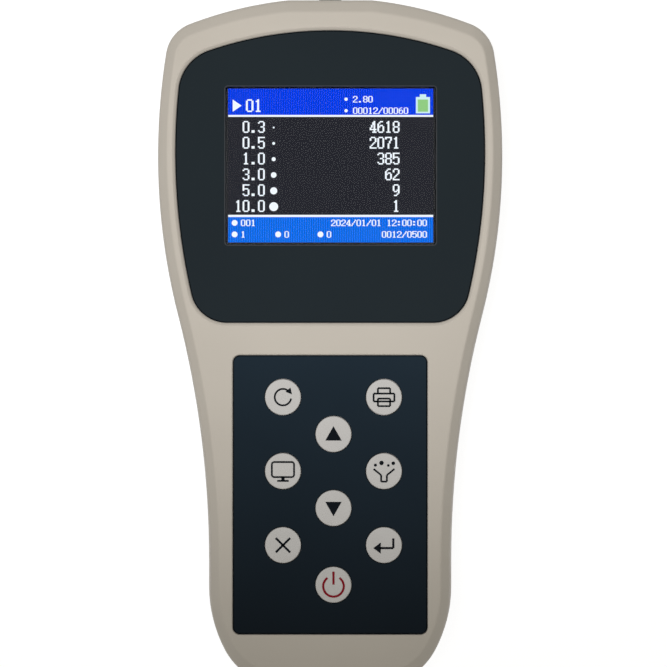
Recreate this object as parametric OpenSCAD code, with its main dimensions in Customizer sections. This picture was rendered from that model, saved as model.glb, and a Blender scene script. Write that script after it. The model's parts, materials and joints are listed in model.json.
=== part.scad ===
// Handheld airborne particle counter with a laser sensor, a vane pump and a colour display.
// It lies on its back: +X to its right, +Y towards the air inlet, +Z out of its face.
// The origin is the middle of its footprint, on the plane that the back rests on. Millimetres.

/* [Housing] */
// Length from the flat seat of the air inlet to the foot
body_len = 240; // [236:1:250]
// Width of the head where it is widest
head_w = 120; // [117:1:126]
// Width of the grip where it is narrowest
grip_w = 84.4; // [82:0.2:90]
// Depth from the back to the face
body_t = 60; // [59:0.5:66]
// Height of the seam between the shells above the back
seam_z = 36; // [34:0.5:39]
// Wall of both shells
wall = 2.5; // [2:0.1:2.8]
// Thickness of the face
face_t = 3.6; // [3.4:0.1:4.2]
// Thickness of the back
floor_t = 3.2; // [3:0.1:3.8]
// Radius of the crowned top edge
crown_r = 134; // [120:1:150]
// Width of the flat seat in the top edge
seat_w = 28.8; // [20:0.2:34]
// Radius of the two upper corners
corner_r = 14; // [12:0.5:18]
// Radius of the long sides of the head
head_r = 223; // [200:1:250]
// Distance from the inlet seat to the widest place of the head
widest_at = 54.2; // [50:0.2:58]
// Distance from the foot to the narrowest place of the grip
narrow_from_foot = 44.9; // [42:0.1:52]
// Distance from the foot to where the sides of the grip start to close
closing_from_foot = 35.8; // [34:0.1:40]
// Radius with which the sides start to close
closing_r = 45.3; // [42:0.1:50]
// Radius of the two lower corners
foot_corner_r = 25.1; // [23:0.1:27]
// Radius of the crowned foot
foot_r = 112; // [105:1:125]

/* [Shoulder and back edge] */
// Width of the sloping shoulder at the sides
shoulder_w = 4.4; // [3.5:0.1:5]
// Width of the sloping shoulder at the top and the foot
shoulder_end_w = 6.3; // [5.5:0.1:7.5]
// Height of the sloping shoulder
shoulder_h = 4.2; // [3.4:0.1:5]
// Radius of the edge round the back
back_r = 7; // [5:0.5:8]

/* [Seam] */
// Visible gap between the two shells
seam_gap = 0.4; // [0.2:0.1:0.8]
// Width of the chamfer on each side of the gap
seam_chamfer = 0.35; // [0.2:0.05:0.6]
// Depth of the lap that covers the gap inside
lap_h = 1.6; // [1.2:0.1:2.4]
// Clearance in the lap
lap_clearance = 0.1; // [0.05:0.05:0.2]

/* [Display] */
// Strip of the face beside the display overlay, from the housing's side
overlay_margin = 7.2; // [6.6:0.1:8]
// Distance from the inlet seat to the top of the display overlay
overlay_at = 12.6; // [11.5:0.1:14]
// Length of the display overlay
overlay_len = 99.7; // [98:0.1:104]
// Radius of the overlay's top edge
overlay_crown_r = 128; // [115:1:140]
// Radius of the overlay's upper corners
overlay_corner_r = 15.5; // [13:0.5:18]
// Radius of the overlay's lower corners
overlay_foot_r = 12.5; // [10:0.5:15]
// Thickness of the display overlay
overlay_t = 0.8; // [0.6:0.1:1]
// Depth of the overlay's top below the face
overlay_sunk = 0.8; // [0.6:0.1:0.9]
// Width of the bevel round the display overlay
overlay_bevel = 0.85; // [0.5:0.05:1.2]
// Gap round an overlay in its recess
overlay_gap = 0.15; // [0.1:0.05:0.3]
// Distance from the inlet seat to the middle of the screen
screen_at = 58.7; // [57.5:0.1:60]
// Width of the lit screen, a 3.5 inch panel
screen_w = 70.08; // [68:0.01:71]
// Height of the lit screen
screen_h = 52.56; // [50:0.01:54]
// Dark margin between the lit screen and the overlay's cut-out
screen_margin = 1; // [0.6:0.1:2]
// How far the clear window reaches under the overlay
window_lap = 0.9; // [0.6:0.1:1.5]
// Thickness of the foam gasket under the window
gasket_t = 0.8; // [0.5:0.1:1.2]
// Width of the display module
lcd_w = 76.9; // [76:0.1:79]
// Length of the display module
lcd_h = 63.9; // [62:0.1:65]
// Thickness of the display module
lcd_t = 3.3; // [2.8:0.1:3.6]
// Wall of the tray that holds the display module
tray_wall = 1.4; // [1.2:0.1:1.8]

/* [Keypad] */
// Width of the keypad overlay
keypad_w = 66.3; // [65:0.1:69]
// Length of the keypad overlay
keypad_len = 95.1; // [94:0.1:98]
// Distance from the foot to the keypad overlay
keypad_from_foot = 21.6; // [20.8:0.1:23]
// Corner radius of the keypad overlay
keypad_corner_r = 2.4; // [1.5:0.1:4]
// Thickness of the keypad overlay
keypad_t = 0.6; // [0.4:0.1:0.8]
// Depth of the keypad overlay's top below the face
keypad_sunk = 0.3; // [0.2:0.1:0.6]
// Diameter of a key
key_d = 12.2; // [11.4:0.1:12.6]
// Gap round a key in its hole
key_gap = 0.2; // [0.15:0.05:0.3]
// Height of a key above its overlay
key_proud = 0.6; // [0.6:0.1:1]
// Travel of a key
key_travel = 0.5; // [0.3:0.05:0.55]
// Height of a key's switch above its board
switch_h = 3.4; // [3:0.1:4]
// Distance between the two columns of keys
column_pitch = 34.4; // [33:0.1:35]
// Distance between the rows of keys
row_pitch = 25.2; // [24.8:0.1:25.6]
// Distance from the keypad overlay's top edge to the first row
first_row = 14.3; // [14:0.1:15]
// Distance from the lowest arrow key's next half row to the power key
power_drop = 13.5; // [13.2:0.1:14.5]
// Offset of the keys to the right of the middle
key_shift = 1.15; // [0:0.05:1.5]

/* [Air inlet] */
// Outer diameter of the air inlet
nozzle_d = 8; // [7.8:0.1:9]
// Bore of the air inlet
nozzle_bore = 5; // [4:0.1:5.2]
// Diameter of the inlet's shank behind its shoulder
shank_d = 7.2; // [6.8:0.1:7.6]
// Reach of the air inlet above its seat
nozzle_reach = 12; // [10:0.5:16]
// Height of the air path above the back
air_z = 22; // [21.5:0.1:23]

/* [Laser sensor] */
// Width of the sensor block
sensor_w = 44; // [42:0.5:46]
// Length of the sensor block
sensor_len = 50; // [49:0.5:51]
// Height of the sensor block
sensor_t = 28; // [26:0.5:29]
// Distance from the inlet seat to the sensor block
sensor_at = 14; // [13.5:0.1:14.5]
// Diameter of the laser module
laser_d = 12; // [10:0.5:13]
// Length of the laser module
laser_len = 34; // [30:0.5:35]
// Diameter of the collecting mirror
mirror_d = 20; // [18:0.5:22]
// Diameter of the light trap
trap_d = 16; // [14:0.5:17]
// Length of the light trap
trap_len = 14; // [12:0.5:16]

/* [Air path] */
// Outer diameter of the soft tubes
tube_od = 8; // [7:0.1:8.5]
// Bore of the soft tubes
tube_id = 5; // [4:0.1:5.6]
// Bend radius of the soft tubes, along their middle
tube_bend = 8; // [7:0.1:8.4]
// Length of a hose stub
stub_len = 6; // [5.5:0.1:6.5]
// Diameter of the pump's motor
motor_d = 24; // [22:0.5:25]
// Length of the pump's motor
motor_len = 25; // [23:0.5:25]
// Width of the pump's head
pump_w = 28; // [26:0.5:29]
// Length of the pump's head
pump_len = 20; // [19:0.5:21]
// Height of the pump's head
pump_t = 26; // [24:0.5:28]
// Distance of the pump's axis to the right of the middle
pump_x = 26; // [25.6:0.1:27]
// Width of the flow sensor
flow_w = 16; // [14:0.5:17]
// Length of the flow sensor
flow_len = 18; // [17:0.5:18]
// Diameter of the exhaust filter
filter_d = 26; // [24:0.5:27]
// Length of the exhaust filter
filter_len = 40; // [38:0.5:41]
// Distance of the exhaust filter's axis to the left of the middle
filter_x = 28; // [27:0.1:29]

/* [Battery] */
// Diameter of one cell with its wrap
cell_d = 18.6; // [18:0.1:19.5]
// Number of cells side by side
cell_count = 3; // [2:1:3]
// Length of the battery pack
battery_len = 69; // [66:0.5:70]
// Distance from the foot to the battery pack
battery_from_foot = 32; // [31.5:0.1:33]
// Thickness of the foam pad under the battery
pad_t = 1.2; // [0.8:0.1:2]
// Gap round the battery in its bay
bay_gap = 0.6; // [0.4:0.1:1]
// Thickness of the battery bay's walls
bay_wall = 1.6; // [1.2:0.1:2]
// Height of the battery bay's walls
bay_wall_h = 8; // [5:0.5:9]
// Thickness of the battery cover's plate
cover_t = 1.8; // [1.4:0.1:2]
// Reach of the cover past its opening, over the ledge
cover_lap = 3; // [2.4:0.1:3.4]
// Gap round the battery cover
cover_gap = 0.3; // [0.2:0.05:0.5]

/* [Boards] */
// Thickness of the circuit boards
board_t = 1.6; // [1:0.1:2]
// Width of the main board
main_w = 92; // [90:0.5:93]
// Length of the main board
main_len = 86; // [84:0.5:87]
// Distance from the inlet seat to the main board
main_at = 24; // [23.5:0.1:25]
// Depth of the main board's top below the face
main_depth = 15; // [13.6:0.1:15.4]
// Width of the board with the two sockets
port_w = 36; // [34:0.5:38]
// Length of the board with the two sockets
port_len = 15; // [14:0.5:16]
// Height of the socket board's underside above the back
port_z = 13; // [11:0.5:14]
// Distance of each socket from the middle
port_x = 9; // [8.5:0.1:10]

/* [Fasteners and mounts] */
// Diameter of a housing screw
screw_d = 3; // [2.5:0.1:3.2]
// Length of a housing screw under its head
screw_len = 34; // [30:0.5:36]
// Diameter of a housing screw's boss
boss_d = 9.6; // [9:0.1:10]
// Depth of the well over a housing screw's head
well_depth = 8; // [6:0.5:10]
// Diameter of a small screw
small_screw_d = 2.2; // [2:0.1:2.6]
// Diameter of a post for small screws
post_d = 5.6; // [5:0.1:6]
// Core diameter of the tripod thread, 1/4 inch 20
tripod_d = 5.2; // [5:0.05:5.4]
// Length of the tripod insert
tripod_len = 9; // [7:0.5:10]

/* [Hidden] */
$fn = 48;
seam_skew = 0.2;        // gap between meeting bosses and between parts laid face to face with play
free_gap = 0.05;        // radial play of a screw or hose stub in its hole
sink = 0.6;             // how far a boss or rib is rooted in its shell
over = 1;               // how far a cut runs past the surface that it opens

// Colours
shell_color = [0.75, 0.72, 0.68];
overlay_color = [0.13, 0.16, 0.18];
key_color = [0.9, 0.9, 0.88];
board_color = [0.08, 0.32, 0.18];
black = [0.08, 0.08, 0.09];
steel = [0.72, 0.73, 0.75];
brass = [0.78, 0.62, 0.3];

// Heights through the depth
face_z = body_t;
ceiling_z = face_z - face_t;
overlay_top = face_z - overlay_sunk;
overlay_floor = overlay_top - overlay_t;
lcd_top = ceiling_z - gasket_t;
lcd_bottom = lcd_top - lcd_t;
tray_bottom = lcd_bottom - tray_wall;
keypad_top = face_z - keypad_sunk;
keypad_floor = keypad_top - keypad_t;
main_top = face_z - main_depth;
main_bottom = main_top - board_t;
sensor_bottom = air_z - sensor_t / 2;
sensor_top = air_z + sensor_t / 2;

// Places along the length. The footprint's middle is halfway between the tip of the inlet and the foot.
seat_y = (body_len - nozzle_reach) / 2;
foot_y = seat_y - body_len;
widest_y = seat_y - widest_at;
narrow_y = foot_y + narrow_from_foot;
closing_y = foot_y + closing_from_foot;
screen_y = seat_y - screen_at;
keypad_y = foot_y + keypad_from_foot + keypad_len / 2;
keypad_top_y = keypad_y + keypad_len / 2;
beam_y = seat_y - sensor_at - sensor_len / 2;
sensor_foot_y = seat_y - sensor_at - sensor_len;

// Centres of the outline's arcs, and the directions in which each pair of arcs touches
function meet(a, ra, b, rb) =
    let (d = norm(b - a), u = (b - a) / d, s = (d * d + ra * ra - rb * rb) / (2 * d))
    a + s * u + sqrt(max(0, ra * ra - s * s)) * [u[1], -u[0]];
function heading(a, b) = atan2(b[1] - a[1], b[0] - a[0]);
seat_turn = acos(seat_w / 2 / crown_r);
crown_c = [0, seat_y - crown_r * sin(seat_turn)];
head_c = [head_w / 2 - head_r, widest_y];
corner_c = meet(crown_c, crown_r - corner_r, head_c, head_r - corner_r);
crown_turn = heading(crown_c, corner_c);
corner_turn = heading(head_c, corner_c);
waist_step = [(head_w - grip_w) / 2, widest_y - narrow_y];
waist_r = waist_step * waist_step / (2 * waist_step[0]) - head_r;
waist_c = [grip_w / 2 + waist_r, narrow_y];
waist_turn = heading(head_c, waist_c);
closing_c = [grip_w / 2 - closing_r, closing_y];
foot_c = [0, foot_y + foot_r];
foot_corner_c = meet(closing_c, closing_r - foot_corner_r, foot_c, foot_r - foot_corner_r);
closing_turn = heading(closing_c, foot_corner_c);
foot_turn = heading(foot_c, foot_corner_c);

// Points along an arc, without its last one
function arc(c, r, from, to, n) =
    [for (i = [0:n - 1]) let (a = from + (to - from) * i / n) c + r * [cos(a), sin(a)]];
// A half outline on the right, from top to bottom, made whole with its mirror image
function whole(half) = concat(half, [for (i = [len(half) - 2:-1:1]) [-half[i][0], half[i][1]]]);
function at_height(outline, z) = [for (p = outline) [p[0], p[1], z]];

// The housing's outline moved inwards by d
function seat_line(d) = crown_c[1] + (crown_r - d) * sin(seat_turn);
function housing_half(d) = concat(
    [[0, seat_line(d)]],
    arc(crown_c, crown_r - d, seat_turn, crown_turn, 6),
    arc(corner_c, corner_r - d, crown_turn, corner_turn, 10),
    arc(head_c, head_r - d, corner_turn, waist_turn, 10),
    arc(waist_c, waist_r + d, 180 + waist_turn, 180, 7),
    [[grip_w / 2 - d, narrow_y]],
    arc(closing_c, closing_r - d, 0, closing_turn, 4),
    arc(foot_corner_c, foot_corner_r - d, closing_turn, foot_turn, 9),
    arc(foot_c, foot_r - d, foot_turn, -90, 4),
    [[0, foot_y + d]]);
// Both ends may move inwards by another amount than the sides
function end_shift(y, d, ends) =
    y > widest_y ? widest_y + (y - widest_y) * (seat_y - ends - widest_y) / (seat_line(d) - widest_y)
    : y < narrow_y ? narrow_y - (narrow_y - y) * (narrow_y - foot_y - ends) / (narrow_y - foot_y - d)
    : y;
function housing_ring(d, ends, z) =
    [for (p = whole(housing_half(d))) [p[0], end_shift(p[1], d, ends), z]];

// The display overlay's outline moved outwards by d
overlay_side_r = head_r - overlay_margin;
overlay_crown_c = [0, seat_y - overlay_at - overlay_crown_r];
overlay_foot_y = seat_y - overlay_at - overlay_len;
overlay_corner_c = meet(overlay_crown_c, overlay_crown_r - overlay_corner_r,
    head_c, overlay_side_r - overlay_corner_r);
overlay_foot_drop = overlay_foot_y + overlay_foot_r - head_c[1];
overlay_foot_c = head_c + [sqrt(pow(overlay_side_r - overlay_foot_r, 2) - pow(overlay_foot_drop, 2)),
    overlay_foot_drop];
overlay_crown_turn = heading(overlay_crown_c, overlay_corner_c);
overlay_corner_turn = heading(head_c, overlay_corner_c);
overlay_foot_turn = heading(head_c, overlay_foot_c);
function overlay_half(d) = concat(
    arc(overlay_crown_c, overlay_crown_r + d, 90, overlay_crown_turn, 8),
    arc(overlay_corner_c, overlay_corner_r + d, overlay_crown_turn, overlay_corner_turn, 10),
    arc(head_c, overlay_side_r + d, overlay_corner_turn, overlay_foot_turn, 9),
    arc(overlay_foot_c, overlay_foot_r + d, overlay_foot_turn, -90, 11),
    [[overlay_foot_c[0], overlay_foot_y - d], [0, overlay_foot_y - d]]);

// Closed solid through rings of equal length, from the one that faces up, each symmetric about X = 0.
module loft(rings) {
    n = len(rings[0]);
    last = (len(rings) - 1) * n;
    sides = [for (j = [0:len(rings) - 2]) for (i = [0:n - 1])
        let (a = j * n + i, b = j * n + (i + 1) % n) each [[a, a + n, b + n], [a, b + n, b]]];
    m = n / 2;
    strips = concat([[0, 1, 2, n - 2, n - 1]], [for (i = [2:m - 3]) [i, i + 1, n - i - 1, n - i]],
        [[m - 2, m - 1, m, m + 1, m + 2]]);
    lower = [for (s = strips) [for (k = [0:len(s) - 1]) s[(len(s) - k) % len(s)] + last]];
    polyhedron(points = [for (r = rings) each r], faces = concat(strips, sides, lower));
}

// Section of the front shell from the face to the ceiling: distance inwards at sides and ends, and height
draft = 0.5;                        // how far the side walls lean in over their height
shoulder_foot = face_z - shoulder_h - draft;
slope_in = shoulder_w * 0.32;       // the shoulder's soft lower edge
inner_in = wall + draft;
front_section = [
    [shoulder_w + 1.2, shoulder_end_w + 1.4, face_z],
    [shoulder_w + 0.5, shoulder_end_w + 0.7, face_z - 0.08],
    [shoulder_w, shoulder_end_w, face_z - 0.34],
    [slope_in, slope_in * 1.8, face_z - shoulder_h],
    [draft + 0.35, draft + 0.8, shoulder_foot - 0.7],
    [draft, draft + 0.3, shoulder_foot - 2.4],
    [0, 0, seam_z + seam_gap / 2 + seam_chamfer],
    [seam_chamfer, seam_chamfer, seam_z + seam_gap / 2],
    [wall / 2 + lap_clearance, wall / 2 + lap_clearance, seam_z + seam_gap / 2],
    [wall / 2 + lap_clearance, wall / 2 + lap_clearance, seam_z - lap_h],
    [wall, wall, seam_z - lap_h],
    [inner_in, inner_in + 0.3, shoulder_foot - 2.4],
    [shoulder_w + draft, shoulder_end_w + draft, ceiling_z]];
// Section of the rear shell, from the back to the floor
function back_edge(a) =
    let (inset = back_r * (1 - sin(a))) [inset + draft, inset * 1.25 + draft, back_r * (1 - cos(a))];
rear_section = [
    back_edge(0), back_edge(22), back_edge(45), back_edge(68), back_edge(90),
    [0, 0, seam_z - seam_gap / 2 - seam_chamfer],
    [seam_chamfer, seam_chamfer, seam_z - seam_gap / 2],
    [wall / 2, wall / 2, seam_z - seam_gap / 2],
    [wall / 2, wall / 2, seam_z - lap_h - seam_skew],
    [wall, wall, seam_z - lap_h - seam_skew],
    [inner_in, inner_in, back_r + 1],
    [inner_in + 1.2, inner_in + 1.2, floor_t + 1.4],
    [inner_in + 3.4, inner_in + 3.8, floor_t]];

// Shapes that repeat
module rounded_rect(w, l, r) {
    square([w - 2 * r, l], center = true);
    square([w, l - 2 * r], center = true);
    for (x = [-1, 1], y = [-1, 1]) translate([x * (w / 2 - r), y * (l / 2 - r)]) circle(r);
}
module plate(w, l, t, r) { linear_extrude(t) rounded_rect(w, l, r); }
module block(w, l, t) { translate([-w / 2, -l / 2, 0]) cube([w, l, t]); }
// Turned pieces: the axis runs towards +Y, towards -X and towards +X from the origin
module along_y() { rotate([-90, 0, 0]) children(); }
module along_left() { rotate([0, -90, 0]) children(); }
module along_right() { rotate([0, 90, 0]) children(); }
module hose(len) { difference() { cylinder(d = tube_od, h = len); bored(tube_id, len); } }
module bored(d, len) { translate([0, 0, -over]) cylinder(d = d, h = len + 2 * over); }
// Quarter bend of hose in the XY plane about the origin, from direction a onwards
module bend(a) {
    rotate([0, 0, a]) rotate_extrude(angle = 90) translate([tube_bend, 0]) difference() {
        circle(d = tube_od);
        circle(d = tube_id);
    }
}
// Hose stub along +Z with a barb and an open bore
stub_d = tube_id - 2 * free_gap;
stub_bore = 3;
module stub(len) {
    difference() {
        cylinder(d = stub_d, h = len);
        bored(stub_bore, len);
    }
}
module screw(d, len) {
    head_h = d * 0.7;
    difference() {
        union() {
            translate([0, 0, -len]) cylinder(d = d - 2 * free_gap, h = len + sink);
            cylinder(d1 = d * 1.9, d2 = d * 1.7, h = head_h);
        }
        translate([0, 0, head_h * 0.45]) cylinder(d = d * 0.9, h = head_h, $fn = 6);
    }
}

// Places of the fasteners
mid_boss_at = 127;
top_screw = [42, seat_y - 18];
mid_screw = [40, seat_y - mid_boss_at];
foot_screw = [27, foot_y + 17];
screw_spots = [for (s = [-1, 1], p = [top_screw, mid_screw, foot_screw]) [s * p[0], p[1]]];
main_y = seat_y - main_at - main_len / 2;
main_spots = [for (x = [-1, 1], y = [-1, 1]) [x * (main_w / 2 - 2.9), main_y + y * (main_len / 2 - 5)]];
tray_spots = [for (x = [-1, 1], y = [-1, 1]) [x * 30, screen_y + y * (lcd_h / 2 + tray_wall + 3.6)]];
keypad_board_w = keypad_w - 4.6;
keypad_board_len = keypad_len - 7.5;
board_spot = [keypad_board_w / 2 - 3, keypad_board_len / 2 - 3];
keypad_spots = [for (x = [-1, 1], y = [-1, 1]) [x * board_spot[0], keypad_y + y * board_spot[1]]];
keypad_board_top = keypad_floor - 9.5;
well_d = screw_d * 2.2;
boss_roof = ceiling_z + sink;

// Places of the keys
key_left = key_shift - column_pitch / 2;
key_right = key_shift + column_pitch / 2;
function row_y(n) = keypad_top_y - first_row - n * row_pitch / 2;
key_spots = [
    [key_left, row_y(0)], [key_right, row_y(0)], [key_shift, row_y(1)], [key_left, row_y(2)],
    [key_right, row_y(2)], [key_shift, row_y(3)], [key_left, row_y(4)], [key_right, row_y(4)],
    [key_shift, row_y(4) - power_drop]];

// Front shell: hollow, with recesses for both overlays, the screen's opening, the key holes and its posts
module front_posts() {
    for (p = screw_spots) translate([p[0], p[1], seam_z + seam_skew / 2])
        cylinder(d = boss_d - 1.6, h = boss_roof - seam_z - seam_skew / 2);
    for (p = main_spots) translate([p[0], p[1], main_top]) cylinder(d = post_d, h = boss_roof - main_top);
    for (p = tray_spots) translate([p[0], p[1], lcd_bottom + 1])
        cylinder(d = post_d, h = boss_roof - lcd_bottom - 1);
    for (p = keypad_spots) translate([p[0], p[1], keypad_board_top])
        cylinder(d = post_d, h = boss_roof - keypad_board_top);
}
module pilot(p, z, d, depth) { translate([p[0], p[1], z - over]) cylinder(d = d, h = depth + over); }
module front_pilots() {
    for (p = screw_spots) pilot(p, seam_z, screw_d, well_depth + screw_len + 1.5 - seam_z);
    for (p = main_spots) pilot(p, main_top, small_screw_d, 7);
    for (p = tray_spots) pilot(p, lcd_bottom + 1, small_screw_d, 4.4);
    for (p = keypad_spots) pilot(p, keypad_board_top, small_screw_d, 6);
}
module display_recess() {
    slope = overlay_bevel / overlay_sunk;
    steps = [[overlay_gap + slope * (overlay_sunk + over), face_z + over], [overlay_gap, overlay_top],
        [overlay_gap, overlay_floor]];
    loft([for (s = steps) at_height(whole(overlay_half(s[0])), s[1])]);
}
module keypad_recess() {
    depth = keypad_sunk + keypad_t;
    translate([0, keypad_y, keypad_floor])
        plate(keypad_w + 2 * overlay_gap, keypad_len + 2 * overlay_gap, depth + over, keypad_corner_r);
}
window_w = screen_w + 2 * (screen_margin + window_lap);
window_h = screen_h + 2 * (screen_margin + window_lap);
module front_shell() {
    color(shell_color) difference() {
        union() {
            loft([for (s = front_section) housing_ring(s[0], s[1], s[2])]);
            front_posts();
        }
        display_recess();
        keypad_recess();
        translate([0, screen_y, ceiling_z - over])
            block(window_w + 2 * overlay_gap, window_h + 2 * overlay_gap, face_t + 2 * over);
        for (p = key_spots) translate([p[0], p[1], ceiling_z - over])
            cylinder(d = key_d + 2 * key_gap, h = face_t + 2 * over);
        front_pilots();
    }
}

// Display: printed overlay, clear window, foam gasket, panel and tray
module display_overlay() {
    color(overlay_color) difference() {
        loft([for (z = [overlay_top, overlay_floor]) at_height(whole(overlay_half(0)), z)]);
        translate([0, screen_y, overlay_floor - over])
            plate(screen_w + 2 * screen_margin, screen_h + 2 * screen_margin, overlay_t + 2 * over, 0.8);
    }
}
module display_window() {
    color([0.8, 0.9, 0.95, 0.4]) translate([0, screen_y, ceiling_z])
        block(window_w, window_h, overlay_floor - ceiling_z);
}
gasket_gap = 0.7;       // distance of the gasket's opening from the lit screen
gasket_rim = 2.4;       // width of the gasket's foam
module display_gasket() {
    opening = [screen_w + 2 * gasket_gap, screen_h + 2 * gasket_gap];
    color(black) translate([0, screen_y, lcd_top]) difference() {
        block(opening[0] + 2 * gasket_rim, opening[1] + 2 * gasket_rim, gasket_t);
        translate([0, 0, -over]) block(opening[0], opening[1], gasket_t + 2 * over);
    }
}
module lcd_panel() {
    color([0.1, 0.12, 0.2]) translate([0, screen_y, lcd_bottom]) block(lcd_w, lcd_h, lcd_t);
}
tray_play = 0.2;        // gap round the panel in its tray
tray_rim = 8;           // width of the rim that the panel rests on
tray_ear = 2;           // thickness of the tray's ears
module lcd_tray() {
    side = tray_wall + tray_play;
    color(black) difference() {
        union() {
            translate([0, screen_y, tray_bottom])
                block(lcd_w + 2 * side, lcd_h + 2 * side, lcd_t + tray_wall - seam_skew);
            for (p = tray_spots) translate([p[0], p[1], lcd_bottom + 1 - tray_ear])
                block(post_d + 4.4, post_d + 3.4, tray_ear);
        }
        translate([0, screen_y, lcd_bottom])
            block(lcd_w + 2 * tray_play, lcd_h + 2 * tray_play, lcd_t + over);
        translate([0, screen_y, tray_bottom - over])
            block(lcd_w - 2 * tray_rim, lcd_h - 2 * tray_rim, tray_wall + 2 * over);
        for (p = tray_spots) pilot(p, lcd_bottom + 1 - tray_ear, small_screw_d + 0.4, tray_ear + over);
    }
}
// Flat cable that leaves the foot of the panel and folds back to the main board
ribbon_t = 0.3;
ribbon_w = 30;
ribbon_fold_in = 14;    // distance from the panel's foot to the ribbon's fold
ribbon_tail = 10;       // length of the ribbon under the panel
ribbon_run = 16;        // length of the ribbon on the main board
module display_ribbon() {
    fold_y = screen_y - lcd_h / 2 + ribbon_fold_in;
    upper = lcd_bottom - ribbon_t;
    lower = main_top + ribbon_plug_h;
    fold_r = (upper + ribbon_t - lower) / 2;
    color([0.75, 0.45, 0.15]) translate([-ribbon_w / 2, 0, 0]) rotate([90, 0, 90]) linear_extrude(ribbon_w) {
        translate([fold_y, upper]) square([ribbon_tail, ribbon_t]);
        translate([fold_y, lower]) square([ribbon_run, ribbon_t]);
        translate([fold_y, lower + fold_r]) intersection() {
            difference() {
                circle(fold_r);
                circle(fold_r - ribbon_t);
            }
            translate([-2 * fold_r, -2 * fold_r]) square([2 * fold_r, 4 * fold_r]);
        }
    }
}

// Keypad: printed overlay, nine keys, and the board with their switches
module keypad_overlay() {
    color(overlay_color) difference() {
        translate([0, keypad_y, keypad_floor]) plate(keypad_w, keypad_len, keypad_t, keypad_corner_r);
        for (p = key_spots) translate([p[0], p[1], keypad_floor - over])
            cylinder(d = key_d + 2 * key_gap, h = keypad_t + 2 * over);
    }
}
// A key: cap with a rounded rim, flange that keeps it in, and stem over its switch
flange_top = ceiling_z - 0.2;
stem_bottom = keypad_board_top + switch_h + key_travel + 0.1;
module key(i) {
    rim_r = 0.45;
    top = keypad_top + key_proud;
    flange_r = key_d / 2 + 0.9;
    color(key_color) translate([key_spots[i][0], key_spots[i][1], 0]) rotate_extrude() {
        translate([0, flange_top - 1]) square([key_d / 2, top - rim_r - flange_top + 1]);
        translate([0, flange_top - 1]) square([key_d / 2 - rim_r, top - flange_top + 1]);
        intersection() {
            translate([key_d / 2 - rim_r, top - rim_r]) circle(rim_r);
            square([key_d, top + 1]);
        }
        translate([0, flange_top - 1]) square([flange_r, 1]);
        translate([0, stem_bottom]) square([2, flange_top - stem_bottom]);
    }
}
module key_reset() { key(0); }
module key_print() { key(1); }
module key_up() { key(2); }
module key_display() { key(3); }
module key_sample() { key(4); }
module key_down() { key(5); }
module key_escape() { key(6); }
module key_enter() { key(7); }
module key_power() { key(8); }

module keypad_board() {
    color(board_color) difference() {
        translate([0, keypad_y, keypad_board_top - board_t])
            plate(keypad_board_w, keypad_board_len, board_t, 2);
        for (p = keypad_spots) pilot(p, keypad_board_top - board_t, small_screw_d + 0.4, board_t + over);
    }
}
module key_switches() {
    body_w = 6;
    body_h = switch_h - 1;
    color(black) for (p = key_spots) translate([p[0], p[1], keypad_board_top]) {
        block(body_w, body_w, body_h);
        cylinder(d = 3.4, h = switch_h);
    }
}
// Flat cable from the keypad's board up to the main board
keypad_ribbon_w = 24;
keypad_ribbon_flat = 8; // length of the ribbon's flat part under the keypad's board
module keypad_ribbon() {
    lift = [0, ribbon_t];
    start = [plug_y - ribbon_plug_len / 2, main_top + ribbon_plug_h];
    end = [keypad_y + keypad_board_len / 2 - keypad_ribbon_flat - 1, keypad_board_top - board_t - ribbon_t];
    upper_bend = end + [keypad_ribbon_flat, 0];
    lower_bend = start - [keypad_ribbon_flat - 2, 0];
    color([0.75, 0.45, 0.15]) translate([-keypad_ribbon_w / 2, 0, 0]) rotate([90, 0, 90])
        linear_extrude(keypad_ribbon_w) polygon([start, start + lift, lower_bend + lift, upper_bend + lift,
            end + lift, end, upper_bend, lower_bend]);
}

// Main board with what is soldered to it
module main_board() {
    color(board_color) difference() {
        translate([0, main_y, main_bottom]) plate(main_w, main_len, board_t, 3);
        for (p = main_spots) pilot(p, main_bottom, small_screw_d + 0.4, board_t + over);
    }
}
// Chips: place from the board's middle, width, length and height
chips = [[[-23, 15.5], 14, 14, 1.4], [[8, 16], 10, 10, 1.2], [[-24, -12], 8, 5, 1.5], [[26, 6], 7, 7, 1],
    [[30, -14], 12, 8, 2]];
module board_chips() {
    color(black) for (c = chips) translate([c[0][0], main_y + c[0][1], main_top]) block(c[1], c[2], c[3]);
}
plug_y = main_y - main_len / 2 + 10;
lead_x = 4;
lead_bend = 4;          // bend radius of the leads
plug_w = 7.5;
plug_len = 6;
plug_h = 5;
ribbon_plug_len = 4;
ribbon_plug_h = 1.2;
ribbon_plug_y = screen_y - lcd_h / 2 + ribbon_fold_in + ribbon_run - ribbon_plug_len / 2;
module board_connectors() {
    color([0.9, 0.88, 0.8]) {
        translate([0, plug_y, main_top]) block(keypad_ribbon_w + 2, ribbon_plug_len, ribbon_plug_h);
        translate([0, ribbon_plug_y, main_top]) block(ribbon_w + 2, ribbon_plug_len, ribbon_plug_h);
        for (p = [[lead_x, plug_y], [pump_x, motor_top_y + lead_bend + 1]])
            translate([p[0], p[1], main_bottom - plug_h]) block(plug_w, plug_len, plug_h);
    }
}
small_screw_len = 6.5;
ear_screw_len = 5;
port_screw_len = 5.5;
module raised_screw(p, z, len) {
    translate([p[0], p[1], z]) mirror([0, 0, 1]) screw(small_screw_d, len);
}
module board_screws() {
    color(steel) {
        for (p = main_spots) raised_screw(p, main_bottom, small_screw_len);
        for (p = tray_spots) raised_screw(p, lcd_bottom + 1 - tray_ear, ear_screw_len);
        for (p = keypad_spots) raised_screw(p, keypad_board_top - board_t, small_screw_len);
        for (p = port_spots) translate([p[0], p[1], port_z + board_t]) screw(small_screw_d, port_screw_len);
    }
}
clock_cell_d = 20;
clock_cell_t = 3.2;
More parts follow.
